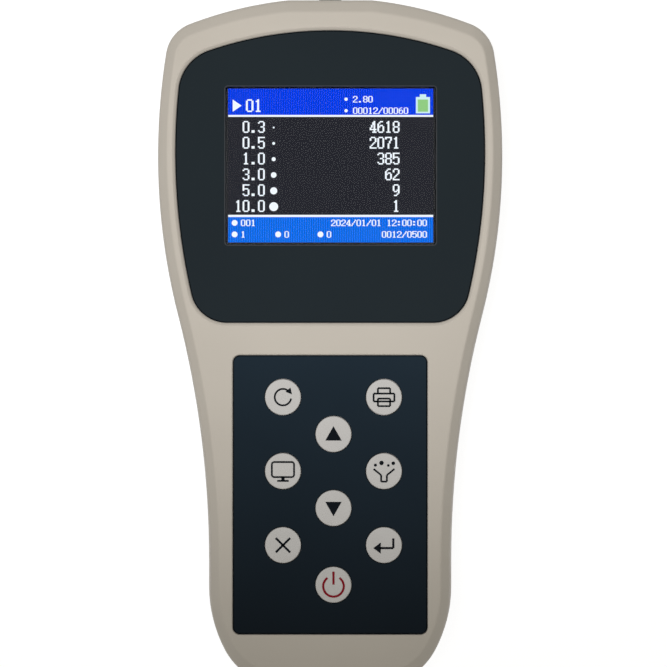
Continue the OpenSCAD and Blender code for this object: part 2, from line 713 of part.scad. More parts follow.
corner_part = [32, 26]; // place of the clock's cell from the board's middle, with the buzzer across from it
module clock_cell() {
    color(steel) translate([corner_part[0], main_y + corner_part[1], main_bottom - clock_cell_t])
        cylinder(d = clock_cell_d, h = clock_cell_t);
}
buzzer_d = 12;
buzzer_h = 6.5;
module buzzer() {
    color(black) translate([-corner_part[0], main_y - corner_part[1], main_bottom - buzzer_h]) difference() {
        cylinder(d = buzzer_d, h = buzzer_h);
        translate([0, 0, -over]) cylinder(d = buzzer_d / 6, h = buzzer_h / 2);
    }
}

// Air inlet: a tube with a shoulder on the seat, whose shank and seal ring plug into the sensor block
spigot_in = 9;          // how far the shank reaches into the block
seal_in = 4.5;          // how deep in the block the seal ring lies
seal_t = 1.6;           // thickness of the seal ring
groove_depth = 0.6;
spigot_end = seat_y - sensor_at - spigot_in;
seal_y = seat_y - sensor_at - seal_in;
seal_mid_r = shank_d / 2 - groove_depth + seal_t / 2 + free_gap;
groove_len = seal_t + 0.2;
module inlet_nozzle() {
    shank_len = seat_y - spigot_end;
    tip = 0.6;
    tip_at = shank_len + nozzle_reach - tip;
    color([0.2, 0.17, 0.15]) translate([0, spigot_end, air_z]) along_y() difference() {
        union() {
            cylinder(d = shank_d, h = shank_len + sink);
            translate([0, 0, shank_len]) cylinder(d = nozzle_d, h = nozzle_reach - tip);
            translate([0, 0, tip_at]) cylinder(d1 = nozzle_d, d2 = nozzle_d - 2 * tip, h = tip);
        }
        bored(nozzle_bore, tip_at + tip);
        translate([0, 0, seal_y - spigot_end - groove_len / 2]) rotate_extrude()
            translate([shank_d / 2 - groove_depth, 0]) square([groove_depth + over, groove_len]);
    }
}
module inlet_seal() {
    color(black) translate([0, seal_y, air_z]) along_y()
        rotate_extrude() translate([seal_mid_r, 0]) circle(d = seal_t);
}

// Laser sensor: a milled block with crossing bores for air, beam, mirror and detector
ear_w = 8;
ear_t = 4;
ear_in = 5;             // distance from an end of the block to its ears' screws
sensor_spots = [for (x = [-1, 1], y = [-1, 1])
    [x * (sensor_w / 2 + ear_w / 2 - 0.5), beam_y + y * (sensor_len / 2 - ear_in)]];
chamber_d = 15;
trap_hole_d = 5;
detector_hole_d = 9;
mirror_t = 7;
module sensor_block() {
    color([0.16, 0.16, 0.17]) difference() {
        union() {
            translate([0, beam_y, sensor_bottom]) block(sensor_w, sensor_len, sensor_t);
            for (p = sensor_spots) translate([p[0], p[1], sensor_bottom]) block(ear_w + 1, 8, ear_t);
        }
        translate([0, spigot_end - seam_skew, air_z]) along_y()
            cylinder(d = shank_d + 2 * free_gap, h = sensor_len);
        translate([0, seal_y - groove_len / 2, air_z]) along_y()
            cylinder(d = 2 * seal_mid_r + seal_t + 2 * free_gap, h = sensor_len);
        translate([0, sensor_foot_y - over, air_z]) along_y() cylinder(d = jet_d, h = sensor_len);
        translate([0, beam_y, air_z]) sphere(d = chamber_d);
        translate([0, beam_y, air_z]) along_left() cylinder(d = laser_d + 2 * free_gap, h = sensor_w);
        translate([0, beam_y, air_z]) along_right() cylinder(d = trap_hole_d, h = sensor_w);
        translate([0, beam_y, sensor_bottom - over]) cylinder(d = mirror_d, h = mirror_t + over);
        translate([0, beam_y, air_z]) cylinder(d = detector_hole_d, h = sensor_t);
        for (p = sensor_spots) pilot(p, sensor_bottom, screw_d + 0.4, ear_t + over);
    }
}
// Jets that lead the air across the beam: an outer diameter, a bore, and a cone towards the beam
jet_d = 7;
jet_gap = 3;
module jet(len) {
    difference() {
        union() {
            cylinder(d = jet_d - 2 * free_gap, h = len - 3);
            translate([0, 0, len - 3]) cylinder(d1 = jet_d - 2 * free_gap, d2 = 4, h = 3);
        }
        bored(2.4, len);
    }
}
module inlet_jet() {
    len = spigot_end - seam_skew - beam_y - jet_gap;
    color(steel) translate([0, spigot_end - seam_skew, air_z]) rotate([90, 0, 0]) jet(len);
}
module outlet_jet() {
    len = beam_y - jet_gap - sensor_foot_y;
    color(steel) translate([0, sensor_foot_y, air_z]) {
        along_y() jet(len);
        rotate([90, 0, 0]) stub(stub_len);
    }
}
laser_tip = 8;
module laser_module() {
    color(brass) translate([-laser_tip, beam_y, air_z]) along_left() difference() {
        union() {
            cylinder(d = laser_d, h = laser_len - 2);
            translate([0, 0, laser_len - 2]) cylinder(d = laser_d - 3, h = 2);
        }
        translate([0, 0, -over]) cylinder(d = 6, h = over + 1.5);
    }
}
module laser_clamp() {
    clamp_d = laser_d + 7;
    clamp_len = 6;
    color([0.25, 0.25, 0.27]) translate([-sensor_w / 2, beam_y, air_z]) along_left() difference() {
        cylinder(d = clamp_d, h = clamp_len);
        bored(laser_d + 2 * free_gap, clamp_len);
        translate([0, -0.5, -over]) cube([clamp_d, 1, clamp_len + 2 * over]);
    }
}
trap_wall = 1.6;
module light_trap() {
    mouth_r = trap_hole_d / 2 + 0.1;
    inner_r = trap_d / 2 - trap_wall;
    cone_tip = trap_len - trap_wall - 5;
    color(black) translate([sensor_w / 2, beam_y, air_z]) along_right() rotate_extrude()
        polygon([[mouth_r, 0], [trap_d / 2, 0], [trap_d / 2, trap_len], [0, trap_len], [0, cone_tip],
            [inner_r, trap_len - trap_wall], [inner_r, trap_wall], [mouth_r, trap_wall]]);
}
module collecting_mirror() {
    dish_r = 18;
    dish_depth = 2.4;
    color(steel) translate([0, beam_y, sensor_bottom]) difference() {
        cylinder(d = mirror_d - 2 * free_gap, h = mirror_t);
        translate([0, 0, mirror_t - dish_depth + dish_r]) sphere(dish_r);
    }
}
detector_w = 26;        // width of the detector's board
shield_in = 2;          // distance from the edge of the detector's board to its shield
shield_h = 2.8;
shield_skin = 0.4;
module detector_board() {
    color(board_color) translate([0, beam_y, sensor_top]) block(detector_w, detector_w, board_t);
}
module detector_shield() {
    outer = detector_w - 2 * shield_in;
    inner = outer - 2 * shield_skin;
    color(steel) translate([0, beam_y, sensor_top + board_t]) difference() {
        block(outer, outer, shield_h);
        translate([0, 0, -over]) block(inner, inner, shield_h - shield_skin + over);
    }
}
sensor_screw_len = 8;
module sensor_screws() {
    color(steel) for (p = sensor_spots) translate([p[0], p[1], sensor_bottom + ear_t])
        screw(screw_d, sensor_screw_len);
}

// Air path after the sensor: flow sensor, pump, filter and exhaust, all at the same height
flow_top_y = sensor_foot_y - 10;
flow_foot_y = flow_top_y - flow_len;
turn_y = flow_foot_y - 4;
suction_y = turn_y - tube_bend;
pump_top_y = suction_y + pump_len / 2 + 2;
pump_foot_y = pump_top_y - pump_len;
motor_top_y = pump_top_y + motor_len;
return_y = pump_foot_y - 6;
filter_foot_y = return_y + 6;
filter_top_y = filter_foot_y + filter_len;
port_y = widest_y;
module suction_tubes() {
    color([0.85, 0.83, 0.8]) translate([0, 0, air_z]) {
        translate([0, flow_top_y + 0.5, 0]) along_y() hose(sensor_foot_y - flow_top_y - 1);
        translate([0, turn_y, 0]) along_y() hose(flow_foot_y - turn_y - 0.5);
        translate([tube_bend, turn_y, 0]) bend(180);
        translate([tube_bend, suction_y, 0]) along_right() hose(pump_x - pump_w / 2 - tube_bend - 0.5);
    }
}
flow_t = 14;            // height of the flow sensor
flow_stub = 4;          // length of the flow sensor's stubs
module flow_sensor() {
    color([0.2, 0.22, 0.25]) translate([0, flow_foot_y, air_z]) {
        difference() {
            translate([0, flow_len / 2, -flow_t / 2]) block(flow_w, flow_len, flow_t);
            along_y() bored(stub_bore, flow_len);
        }
        rotate([90, 0, 0]) stub(flow_stub);
        translate([0, flow_len, 0]) along_y() stub(flow_stub);
    }
}
module pump_head() {
    color([0.3, 0.3, 0.32]) translate([pump_x, pump_foot_y, air_z]) {
        translate([0, pump_len / 2, -pump_t / 2]) plate(pump_w, pump_len, pump_t, 3);
        rotate([90, 0, 0]) stub(stub_len);
        translate([-pump_w / 2, suction_y - pump_foot_y, 0]) along_left()
            stub(pump_x - pump_w / 2 - tube_bend);
    }
}
module pump_motor() {
    color(steel) translate([pump_x, pump_top_y, air_z]) along_y() {
        cylinder(d = motor_d, h = motor_len - 1.5);
        translate([0, 0, motor_len - 1.5]) cylinder(d = motor_d * 0.4, h = 1.5);
    }
}
cradle_len = 12;
module pump_cradle() {
    color(black) translate([pump_x, pump_top_y + motor_len / 2 - 1, 0]) difference() {
        translate([0, 0, floor_t]) block(motor_d + 2, cradle_len, air_z - floor_t - 3);
        translate([0, -cradle_len, air_z]) along_y()
            cylinder(d = motor_d + 2 * free_gap, h = 2 * cradle_len);
    }
}
module filter_tube() {
    color([0.85, 0.83, 0.8]) translate([0, 0, air_z]) {
        translate([pump_x, return_y, 0]) along_y() hose(pump_foot_y - return_y - 0.5);
        translate([pump_x - tube_bend, return_y, 0]) bend(270);
        translate([-filter_x + tube_bend, return_y - tube_bend, 0]) along_right()
            hose(pump_x + filter_x - 2 * tube_bend);
        translate([-filter_x + tube_bend, return_y, 0]) bend(180);
        translate([-filter_x, return_y, 0]) along_y() hose(filter_foot_y - return_y - 0.5);
    }
}
module exhaust_filter() {
    dome = 5;
    color([0.93, 0.93, 0.9]) translate([-filter_x, filter_foot_y, air_z]) {
        along_y() {
            cylinder(d1 = 9, d2 = filter_d - 2, h = dome);
            translate([0, 0, dome]) cylinder(d = filter_d - 2, h = filter_len - 2 * dome);
            translate([0, 0, filter_len / 2 - 2]) cylinder(d = filter_d, h = 4);
            translate([0, 0, filter_len - dome]) cylinder(d1 = filter_d - 2, d2 = 9, h = dome);
            translate([0, 0, filter_len]) stub(stub_len);
        }
        rotate([90, 0, 0]) stub(stub_len - 0.5);
    }
}
// The exhaust leaves flush in the left side
port_flange_d = 13;
port_flange_t = 1.2;
port_neck_d = 9;
port_flush = 0.2;       // how far the exhaust port's flange lies below the housing's side
port_wall_x = head_w / 2 - 0.3;
port_in = port_wall_x - port_flange_t - port_flush;
port_run = 9.4;         // length of the exhaust port inside the wall
port_grip = 5;          // how far the tube reaches over the exhaust port's stub
port_stub_x = port_wall_x - wall - port_run;
module exhaust_tube() {
    rise_y = port_y - tube_bend;
    run = port_stub_x + port_grip - filter_x - tube_bend;
    color([0.85, 0.83, 0.8]) translate([0, 0, air_z]) {
        translate([-filter_x, filter_top_y + 0.5, 0]) along_y() hose(rise_y - filter_top_y - 0.5);
        translate([-filter_x - tube_bend, rise_y, 0]) bend(0);
        translate([-filter_x - tube_bend, port_y, 0]) along_left() hose(run);
    }
}
module exhaust_port() {
    nut_x = port_wall_x - wall - 0.2;
    neck_at = port_grip + 0.8;
    color([0.2, 0.17, 0.15]) translate([-port_stub_x, port_y, air_z]) along_left() difference() {
        union() {
            cylinder(d = stub_d, h = port_grip + 2);
            translate([0, 0, neck_at])
                cylinder(d = port_neck_d, h = port_in - port_stub_x - neck_at + port_flush);
            translate([0, 0, nut_x - port_stub_x - 3]) cylinder(d = port_flange_d, h = 2.6, $fn = 6);
            translate([0, 0, port_in - port_stub_x]) cylinder(d = port_flange_d, h = port_flange_t);
        }
        bored(stub_bore, 20);
    }
}

// Battery: a flat pack of cells in a bay behind a screwed cover
pack_w = cell_d * cell_count;
battery_y = foot_y + battery_from_foot + battery_len / 2;
battery_z = floor_t + pad_t + 0.2;
bay_w = pack_w + 2 * bay_gap;
bay_len = battery_len + 2 * bay_gap;
cover_ear = 8;
cover_w = bay_w + 2 * cover_lap;
cover_len = bay_len + 2 * cover_ear;
cover_r = 4;
cover_head_depth = 1;
cover_skew = 0.1;       // how far the cover lies above the back's plane
cover_spots = [for (y = [-1, 1]) [0, battery_y + y * (bay_len / 2 + cover_ear / 2)]];
module battery_pack() {
    color([0.1, 0.25, 0.55]) translate([0, battery_y - battery_len / 2, battery_z + cell_d / 2]) along_y()
        linear_extrude(battery_len) {
            square([pack_w - cell_d, cell_d], center = true);
            for (s = [-1, 1]) translate([s * (pack_w - cell_d) / 2, 0]) circle(d = cell_d);
        }
}
module battery_pad() {
    color(black) translate([0, battery_y, floor_t]) block(pack_w - cell_d, battery_len - 8, pad_t);
}
module battery_cover() {
    color(shell_color) difference() {
        union() {
            translate([0, battery_y, cover_skew]) plate(cover_w, cover_len, cover_t - cover_skew, cover_r);
            translate([0, battery_y, cover_t - sink])
                block(bay_w - 2 * cover_gap, bay_len - 2 * cover_gap, floor_t - cover_t + sink);
        }
        for (p = cover_spots) {
            pilot(p, 0, small_screw_d + 0.4, floor_t);
            pilot(p, 0, small_screw_d * 1.9 + 0.4, cover_head_depth);
        }
    }
}
module battery_screws() {
    len = 7;
    head_h = 0.8;
    color(steel) for (p = cover_spots) translate([p[0], p[1], cover_head_depth]) mirror([0, 0, 1])
        difference() {
            union() {
                translate([0, 0, -len]) cylinder(d = small_screw_d - 2 * free_gap, h = len + head_h / 2);
                cylinder(d = small_screw_d * 1.9, h = head_h);
            }
            translate([0, 0, head_h / 2]) cylinder(d = small_screw_d * 0.8, h = over, $fn = 6);
        }
}
// Leads from the battery and the pump up to the main board
lead_d = 2.4;
module lead_bend_up(a) {
    rotate([90, 0, 90]) rotate([0, 0, a]) rotate_extrude(angle = 90)
        translate([lead_bend, 0]) circle(d = lead_d);
}
module power_leads() {
    battery_end = battery_y + battery_len / 2;
    lead_z = battery_z + cell_d / 2;
    high_z = main_bottom - plug_h;
    run_z = high_z - lead_bend;
    color([0.7, 0.1, 0.1]) {
        translate([lead_x, battery_end, lead_z]) along_y() cylinder(d = lead_d, h = 1);
        translate([lead_x, battery_end + 1, lead_z + lead_bend]) lead_bend_up(270);
        translate([lead_x, battery_end + 1 + lead_bend, lead_z + lead_bend])
            cylinder(d = lead_d, h = run_z - lead_z - 2 * lead_bend);
        translate([lead_x, battery_end + 1 + 2 * lead_bend, run_z - lead_bend]) lead_bend_up(90);
        translate([lead_x, battery_end + 1 + 2 * lead_bend, run_z]) along_y()
            cylinder(d = lead_d, h = plug_y - lead_bend - battery_end - 1 - 2 * lead_bend);
        translate([lead_x, plug_y - lead_bend, high_z]) lead_bend_up(270);
        translate([pump_x, motor_top_y, air_z]) along_y() cylinder(d = lead_d, h = 1);
        translate([pump_x, motor_top_y + 1, air_z + lead_bend]) lead_bend_up(270);
        translate([pump_x, motor_top_y + 1 + lead_bend, air_z + lead_bend])
            cylinder(d = lead_d, h = high_z - air_z - lead_bend);
    }
}

// Sockets at the foot, on a board of their own
port_board_y = foot_y + wall + 2.2 + port_len / 2;
port_spots = [for (s = [-1, 1]) [s * (port_w / 2 - 3), port_board_y + port_len / 2 - 3]];
usb_z = port_z + board_t;
usb_body = [9, 9.5, 3.2];
usb_gap = 0.2;          // gap round the USB socket in its hole
jack_z = port_z + board_t + 5.5;
jack_d = 8;
module port_board() {
    color(board_color) difference() {
        translate([0, port_board_y, port_z]) block(port_w, port_len, board_t);
        for (p = port_spots) pilot(p, port_z, small_screw_d + 0.4, board_t + over);
    }
}
module usb_socket() {
    skin = 0.4;
    mouth = [usb_body[0] - 2 * skin, usb_body[1] - 2.5 + over, usb_body[2] - 2 * skin];
    color(steel) translate([-port_x, foot_y + 1.3, usb_z]) difference() {
        translate([-usb_body[0] / 2, 0, 0]) cube(usb_body);
        translate([-mouth[0] / 2, -over, skin]) cube(mouth);
    }
}
module power_socket() {
    case = [9.5, 12, 11];
    nose = wall + 1.2;
    color(black) translate([port_x, foot_y + 1, jack_z]) difference() {
        union() {
            translate([-case[0] / 2, nose, -5.5]) cube([case[0], case[1] - nose, case[2]]);
            along_y() cylinder(d = jack_d, h = nose + sink);
        }
        along_y() difference() {
            translate([0, 0, -over]) cylinder(d = 5.6, h = 9 + over);
            cylinder(d = 2, h = 9);
        }
    }
}
module housing_screws() {
    color(steel) for (p = screw_spots) translate([p[0], p[1], well_depth]) mirror([0, 0, 1])
        screw(screw_d, screw_len);
}
tripod_spot = [0, flow_foot_y - 8];
insert_d = 10;
insert_collar_d = 12;
insert_collar_t = 1;
insert_sunk = 0.4;      // depth of the insert below the back
insert_post_wall = 2.6; // wall of the post round the insert
module tripod_insert() {
    color(brass) translate([tripod_spot[0], tripod_spot[1], insert_sunk]) difference() {
        union() {
            cylinder(d = insert_d, h = tripod_len);
            cylinder(d = insert_collar_d, h = insert_collar_t);
        }
        bored(tripod_d, tripod_len);
    }
}

// Rear shell: hollow, with screw bosses, battery bay, cradles, and openings for inlet, exhaust and sockets
module rear_post(p, d, top) {
    translate([p[0], p[1], floor_t - sink]) cylinder(d = d, h = top - floor_t + sink);
}
module rear_posts() {
    for (p = screw_spots) rear_post(p, boss_d, seam_z - seam_skew / 2);
    for (p = sensor_spots) rear_post(p, post_d + 1.4, sensor_bottom);
    for (p = port_spots) rear_post(p, post_d, port_z);
    for (p = cover_spots) rear_post(p, post_d, floor_t + 6);
    rear_post(tripod_spot, insert_d + 2 * insert_post_wall, tripod_len + 2);
    for (s = [0.2, 0.8]) translate([-filter_x, filter_foot_y + filter_len * s - 1, 0]) difference() {
        translate([0, 0, floor_t - sink]) block(filter_d - 4, 2, air_z - floor_t + sink - 6);
        translate([0, -over - 1, air_z]) along_y()
            cylinder(d = filter_d - 2 + 2 * free_gap, h = 2 + 2 * over);
    }
    translate([0, battery_y, floor_t - sink]) difference() {
        block(bay_w + 2 * bay_wall, bay_len + 2 * bay_wall, bay_wall_h);
        translate([0, 0, -over]) block(bay_w, bay_len, bay_wall_h + 2 * over);
    }
}
module rear_openings() {
    translate([0, battery_y, -over])
        plate(cover_w + 2 * cover_gap, cover_len + 2 * cover_gap, cover_t + over, cover_r + cover_gap);
    translate([0, battery_y, 0]) block(bay_w, bay_len, floor_t + over);
    for (p = cover_spots) pilot(p, 0, small_screw_d, 8.6);
    for (p = screw_spots) {
        pilot(p, 0, well_d, well_depth);
        pilot(p, 0, screw_d + 0.4, seam_z);
    }
    for (p = sensor_spots) pilot(p, sensor_bottom - 5, screw_d, 5 + over);
    for (p = port_spots) pilot(p, port_z - 5, small_screw_d, 5 + over);
    pilot(tripod_spot, 0, insert_d, tripod_len + insert_sunk);
    pilot(tripod_spot, 0, insert_collar_d, insert_collar_t + insert_sunk);
    translate([0, seat_y - 2 * wall, air_z]) along_y()
        cylinder(d = shank_d + 2 * lap_clearance, h = 3 * wall);
    translate([-port_wall_x + 2 * wall, port_y, air_z]) along_left()
        cylinder(d = port_neck_d + 2 * lap_clearance, h = 3 * wall);
    translate([-port_in, port_y, air_z]) along_left() cylinder(d = port_flange_d + 0.4, h = 3 * wall);
    translate([-port_x - usb_body[0] / 2 - usb_gap, foot_y - wall, usb_z - usb_gap])
        cube([usb_body[0] + 2 * usb_gap, 3 * wall, usb_body[2] + 2 * usb_gap]);
    translate([port_x, foot_y - wall, jack_z]) along_y() cylinder(d = jack_d + 2 * usb_gap, h = 3 * wall);
}
module rear_shell() {
    color(shell_color) difference() {
        union() {
            mirror([0, 0, 1]) loft([for (s = rear_section) housing_ring(s[0], s[1], -s[2])]);
            rear_posts();
        }
        rear_openings();
    }
}

front_shell();
rear_shell();
display_overlay();
display_window();
display_gasket();
lcd_panel();
lcd_tray();
display_ribbon();
keypad_overlay();
key_reset();
key_print();
key_up();
key_display();
key_sample();
key_down();
key_escape();
key_enter();
key_power();
keypad_board();
key_switches();
keypad_ribbon();
main_board();
board_chips();
board_connectors();
board_screws();
clock_cell();
buzzer();
inlet_nozzle();
inlet_seal();
sensor_block();
inlet_jet();
outlet_jet();
laser_module();
laser_clamp();
light_trap();
collecting_mirror();
detector_board();
detector_shield();
sensor_screws();
suction_tubes();
flow_sensor();
pump_head();
pump_motor();
pump_cradle();
filter_tube();
exhaust_filter();
exhaust_tube();
exhaust_port();
battery_pack();
battery_pad();
battery_cover();
battery_screws();
power_leads();
port_board();
usb_socket();
power_socket();
housing_screws();
tripod_insert();
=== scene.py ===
import json
import math

import bmesh
import bpy
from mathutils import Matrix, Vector


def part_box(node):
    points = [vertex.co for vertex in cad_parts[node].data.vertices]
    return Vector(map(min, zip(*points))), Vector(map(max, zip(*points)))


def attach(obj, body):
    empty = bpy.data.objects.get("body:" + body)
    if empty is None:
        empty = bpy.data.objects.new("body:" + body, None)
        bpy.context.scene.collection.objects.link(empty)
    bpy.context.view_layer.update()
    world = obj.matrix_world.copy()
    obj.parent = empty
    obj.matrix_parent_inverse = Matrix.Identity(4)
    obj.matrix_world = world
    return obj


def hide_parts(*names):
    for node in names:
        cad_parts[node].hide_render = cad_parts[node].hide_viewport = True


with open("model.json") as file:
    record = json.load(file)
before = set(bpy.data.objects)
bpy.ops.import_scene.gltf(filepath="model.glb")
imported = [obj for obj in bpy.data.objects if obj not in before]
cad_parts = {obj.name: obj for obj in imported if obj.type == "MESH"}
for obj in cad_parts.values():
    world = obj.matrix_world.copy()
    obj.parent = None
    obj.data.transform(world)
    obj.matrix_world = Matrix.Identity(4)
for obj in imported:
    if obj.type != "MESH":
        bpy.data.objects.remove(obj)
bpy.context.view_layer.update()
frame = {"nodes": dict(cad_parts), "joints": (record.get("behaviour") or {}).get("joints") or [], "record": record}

# Sizes are in millimetres. Blender's are in metres, so a size is multiplied by MM where Blender takes it.
MM = 0.001
HOUSING = "housing"


def box_mm(node):
    """Lowest and highest corner of a CAD node in millimetres."""
    low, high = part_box(node)
    return low / MM, high / MM


def middle(node):
    low, high = box_mm(node)
    return (low + high) / 2


# ------------ places read from the frame
foot_y = box_mm("rear_shell")[0].y
seat_y = box_mm("rear_shell")[1].y
face_z = box_mm("front_shell")[1].z
overlay_low, overlay_high = box_mm("display_overlay")
overlay_bottom = overlay_low.z
overlay_top = overlay_high.z
window_low, window_high = box_mm("display_window")
screen_mid = middle("display_window")
panel_top = box_mm("lcd_panel")[1].z
keypad_low, keypad_high = box_mm("keypad_overlay")
keypad_mid = middle("keypad_overlay")
key_names = sorted(joint["name"].removesuffix("_press") for joint in frame["joints"])
key_mids = {key: middle("key_" + key) for key in key_names}
key_low, key_high = box_mm("key_up")
nozzle_low, nozzle_high = box_mm("inlet_nozzle")
air_z = middle("inlet_nozzle").z
cover_low, cover_high = box_mm("battery_cover")
cover_mid = middle("battery_cover")
tripod_mid = middle("tripod_insert")
tripod_top = box_mm("tripod_insert")[1].z
port_mid = middle("exhaust_port")
port_face_x = box_mm("exhaust_port")[0].x
usb_mid = middle("usb_socket")
jack_mid = middle("power_socket")

# ------------ sizes of the housing
# From the flat seat of the air inlet down: crown, corner, side of the head, waist, grip, and the foot's arcs
head_w = 120
grip_w = 84.4
crown_r = 134
seat_w = 28.8
corner_r = 14
head_r = 223
widest_at = 54.2
narrow_from_foot = 44.9
closing_from_foot = 35.8
closing_r = 45.3
foot_corner_r = 25.1
foot_r = 112
wall = 2.5
face_t = 3.6
floor_t = 3.2
seam_z = 36
seam_gap = 0.4
seam_chamfer = 0.35
lap_h = 1.6
lap_clearance = 0.1
draft = 0.5
shoulder_w = 4.4
shoulder_end_w = 6.3
shoulder_h = 4.2
back_r = 7

widest_y = seat_y - widest_at
narrow_y = foot_y + narrow_from_foot
closing_y = foot_y + closing_from_foot
ceiling_z = face_z - face_t
shoulder_foot = face_z - shoulder_h
seam_low = seam_z - seam_gap / 2
seam_high = seam_z + seam_gap / 2
inner_in = wall + draft

# How far a cutter reaches past what it cuts, and how deep a post starts inside what carries it
over = 1
sink = 0.6

# The corners of a rectangle, counted round from the lower left
quarters = ((-1, -1), (1, -1), (1, 1), (-1, 1))


# ------------ plane geometry
def meet(a, ra, b, rb):
    """Where two circles cross, on the right of the way from a to b."""
    d = math.dist(a, b)
    u = ((b[0] - a[0]) / d, (b[1] - a[1]) / d)
    s = (d * d + ra * ra - rb * rb) / (2 * d)
    h = math.sqrt(max(0, ra * ra - s * s))
    return (a[0] + s * u[0] + h * u[1], a[1] + s * u[1] - h * u[0])


def heading(a, b):
    return math.degrees(math.atan2(b[1] - a[1], b[0] - a[0]))


def arc(c, r, start, end, steps, with_end=False):
    """Points along an arc, with its last one only where asked."""
    turns = [math.radians(start + (end - start) * i / steps) for i in range(steps + with_end)]
    return [(c[0] + r * math.cos(t), c[1] + r * math.sin(t)) for t in turns]


def whole(half):
    """A half outline on the right, from top to bottom, with its mirror image."""
    return half + [(-x, y) for x, y in reversed(half[1:-1])]


def rounded_rect(mid, w, length, r, steps=8):
    points = []
    for sx, sy, start in ((1, 1, 0), (-1, 1, 90), (-1, -1, 180), (1, -1, 270)):
        c = (mid[0] + sx * (w / 2 - r), mid[1] + sy * (length / 2 - r))
        points += arc(c, r, start, start + 90, steps, with_end=True)
    return points


def circle(c, r, steps=48):
    return arc(c, r, 0, 360, steps)


def softened(points, cuts, steps=5):
    """A polyline with its inner corners rounded: cuts gives how far each corner's curve reaches.

    A curve takes less than half of a side, so that two never meet."""
    longest_share = 0.49
    points = [Vector(p) for p in points]
    out = [points[0]]
    for before, corner, after, cut in zip(points, points[1:], points[2:], cuts):
        if cut == 0:
            out.append(corner)
            continue
        back = before - corner
        ahead = after - corner
        a = corner + back.normalized() * min(cut, back.length * longest_share)
        b = corner + ahead.normalized() * min(cut, ahead.length * longest_share)
        for i in range(steps + 1):
            t = i / steps
            out.append(a * (1 - t) ** 2 + corner * 2 * t * (1 - t) + b * t * t)
    return out + [points[-1]]


# ------------ the housing's outline
seat_turn = math.degrees(math.acos(seat_w / 2 / crown_r))
crown_c = (0, seat_y - crown_r * math.sin(math.radians(seat_turn)))
head_c = (head_w / 2 - head_r, widest_y)
corner_c = meet(crown_c, crown_r - corner_r, head_c, head_r - corner_r)
waist_step = ((head_w - grip_w) / 2, widest_y - narrow_y)
waist_r = (waist_step[0] ** 2 + waist_step[1] ** 2) / (2 * waist_step[0]) - head_r
waist_c = (grip_w / 2 + waist_r, narrow_y)
closing_c = (grip_w / 2 - closing_r, closing_y)
foot_c = (0, foot_y + foot_r)
foot_corner_c = meet(closing_c, closing_r - foot_corner_r, foot_c, foot_r - foot_corner_r)
crown_turn = heading(crown_c, corner_c)
corner_turn = heading(head_c, corner_c)
waist_turn = heading(head_c, waist_c)
closing_turn = heading(closing_c, foot_corner_c)
foot_turn = heading(foot_c, foot_corner_c)

# How many straight pieces each arc is drawn with
crown_steps = 14
corner_steps = 16
head_steps = 22
waist_steps = 16
closing_steps = 8
foot_steps = 10


def seat_line(d):
    return crown_c[1] + (crown_r - d) * math.sin(math.radians(seat_turn))


def housing_half(d):
    """Half of the housing's outline, moved inwards by d."""
    return ([(0, seat_line(d))]
            + arc(crown_c, crown_r - d, seat_turn, crown_turn, crown_steps)
            + arc(corner_c, corner_r - d, crown_turn, corner_turn, corner_steps)
            + arc(head_c, head_r - d, corner_turn, waist_turn, head_steps)
            + arc(waist_c, waist_r + d, 180 + waist_turn, 180, waist_steps)
            + [(grip_w / 2 - d, narrow_y)]
            + arc(closing_c, closing_r - d, 0, closing_turn, closing_steps)
            + arc(foot_corner_c, foot_corner_r - d, closing_turn, foot_turn, corner_steps)
            + arc(foot_c, foot_r - d, foot_turn, -90, foot_steps)
            + [(0, foot_y + d)])


def end_shift(y, d, ends):
    """Moves the ends of an outline inwards by another amount than its sides."""
    if y > widest_y:
        return widest_y + (y - widest_y) * (seat_y - ends - widest_y) / (seat_line(d) - widest_y)
    if y < narrow_y:
        return narrow_y - (narrow_y - y) * (narrow_y - foot_y - ends) / (narrow_y - foot_y - d)
    return y


def housing_ring(d, ends, z):
    """The outline at height z, moved inwards by d at its sides and by ends at its ends."""
    return [(x, end_shift(y, d, ends), z) for x, y in whole(housing_half(d))]


# ------------ mesh building
# Corners nearer to each other than this are one corner
weld_reach = 0.0001


def mesh_object(name, verts, faces, weld=False):
    """A mesh with its faces turned outwards."""
    mesh = bpy.data.meshes.new(name)
    mesh.from_pydata([tuple(c * MM for c in v) for v in verts], [], faces)
    obj = bpy.data.objects.new(name, mesh)
    bpy.context.scene.collection.objects.link(obj)
    bm = bmesh.new()
    bm.from_mesh(mesh)
    if weld:
        bmesh.ops.remove_doubles(bm, verts=bm.verts, dist=weld_reach * MM)
    bmesh.ops.recalc_face_normals(bm, faces=bm.faces)
    bm.to_mesh(mesh)
    bm.free()
    return obj


def rings_of(outline_at, steps):
    """Rings of an outline: steps gives each one's offset and height."""
    return [[(x, y, z) for x, y in outline_at(d)] for d, z in steps]


def loft_data(rings):
    """Vertices and faces of a closed solid through rings of equal length."""
    n = len(rings[0])
    verts = [p for r in rings for p in r]
    faces = [tuple(range(n)), tuple(range(len(verts) - n, len(verts)))]
    for j in range(len(rings) - 1):
        for i in range(n):
            k = (i + 1) % n
            faces.append((j * n + i, j * n + k, (j + 1) * n + k, (j + 1) * n + i))
    return verts, faces


def merged(parts):
    """One set of vertices and faces out of several."""
    verts, faces = [], []
    for v, f in parts:
        base = len(verts)
        verts += v
        faces += [tuple(i + base for i in face) for face in f]
    return verts, faces


def loft(name, rings):
    return mesh_object(name, *loft_data(rings))


def prism_data(outline, bottom, top):
    return loft_data([[(x, y, z) for x, y in outline] for z in (bottom, top)])


# How a turned solid is laid: from its own x, y and height to a place in the frame
laid_along = {
    "z": lambda x, y, h: (x, y, h),
    "y": lambda x, y, h: (x, h, -y),
    "-x": lambda x, y, h: (-h, y, x),
}


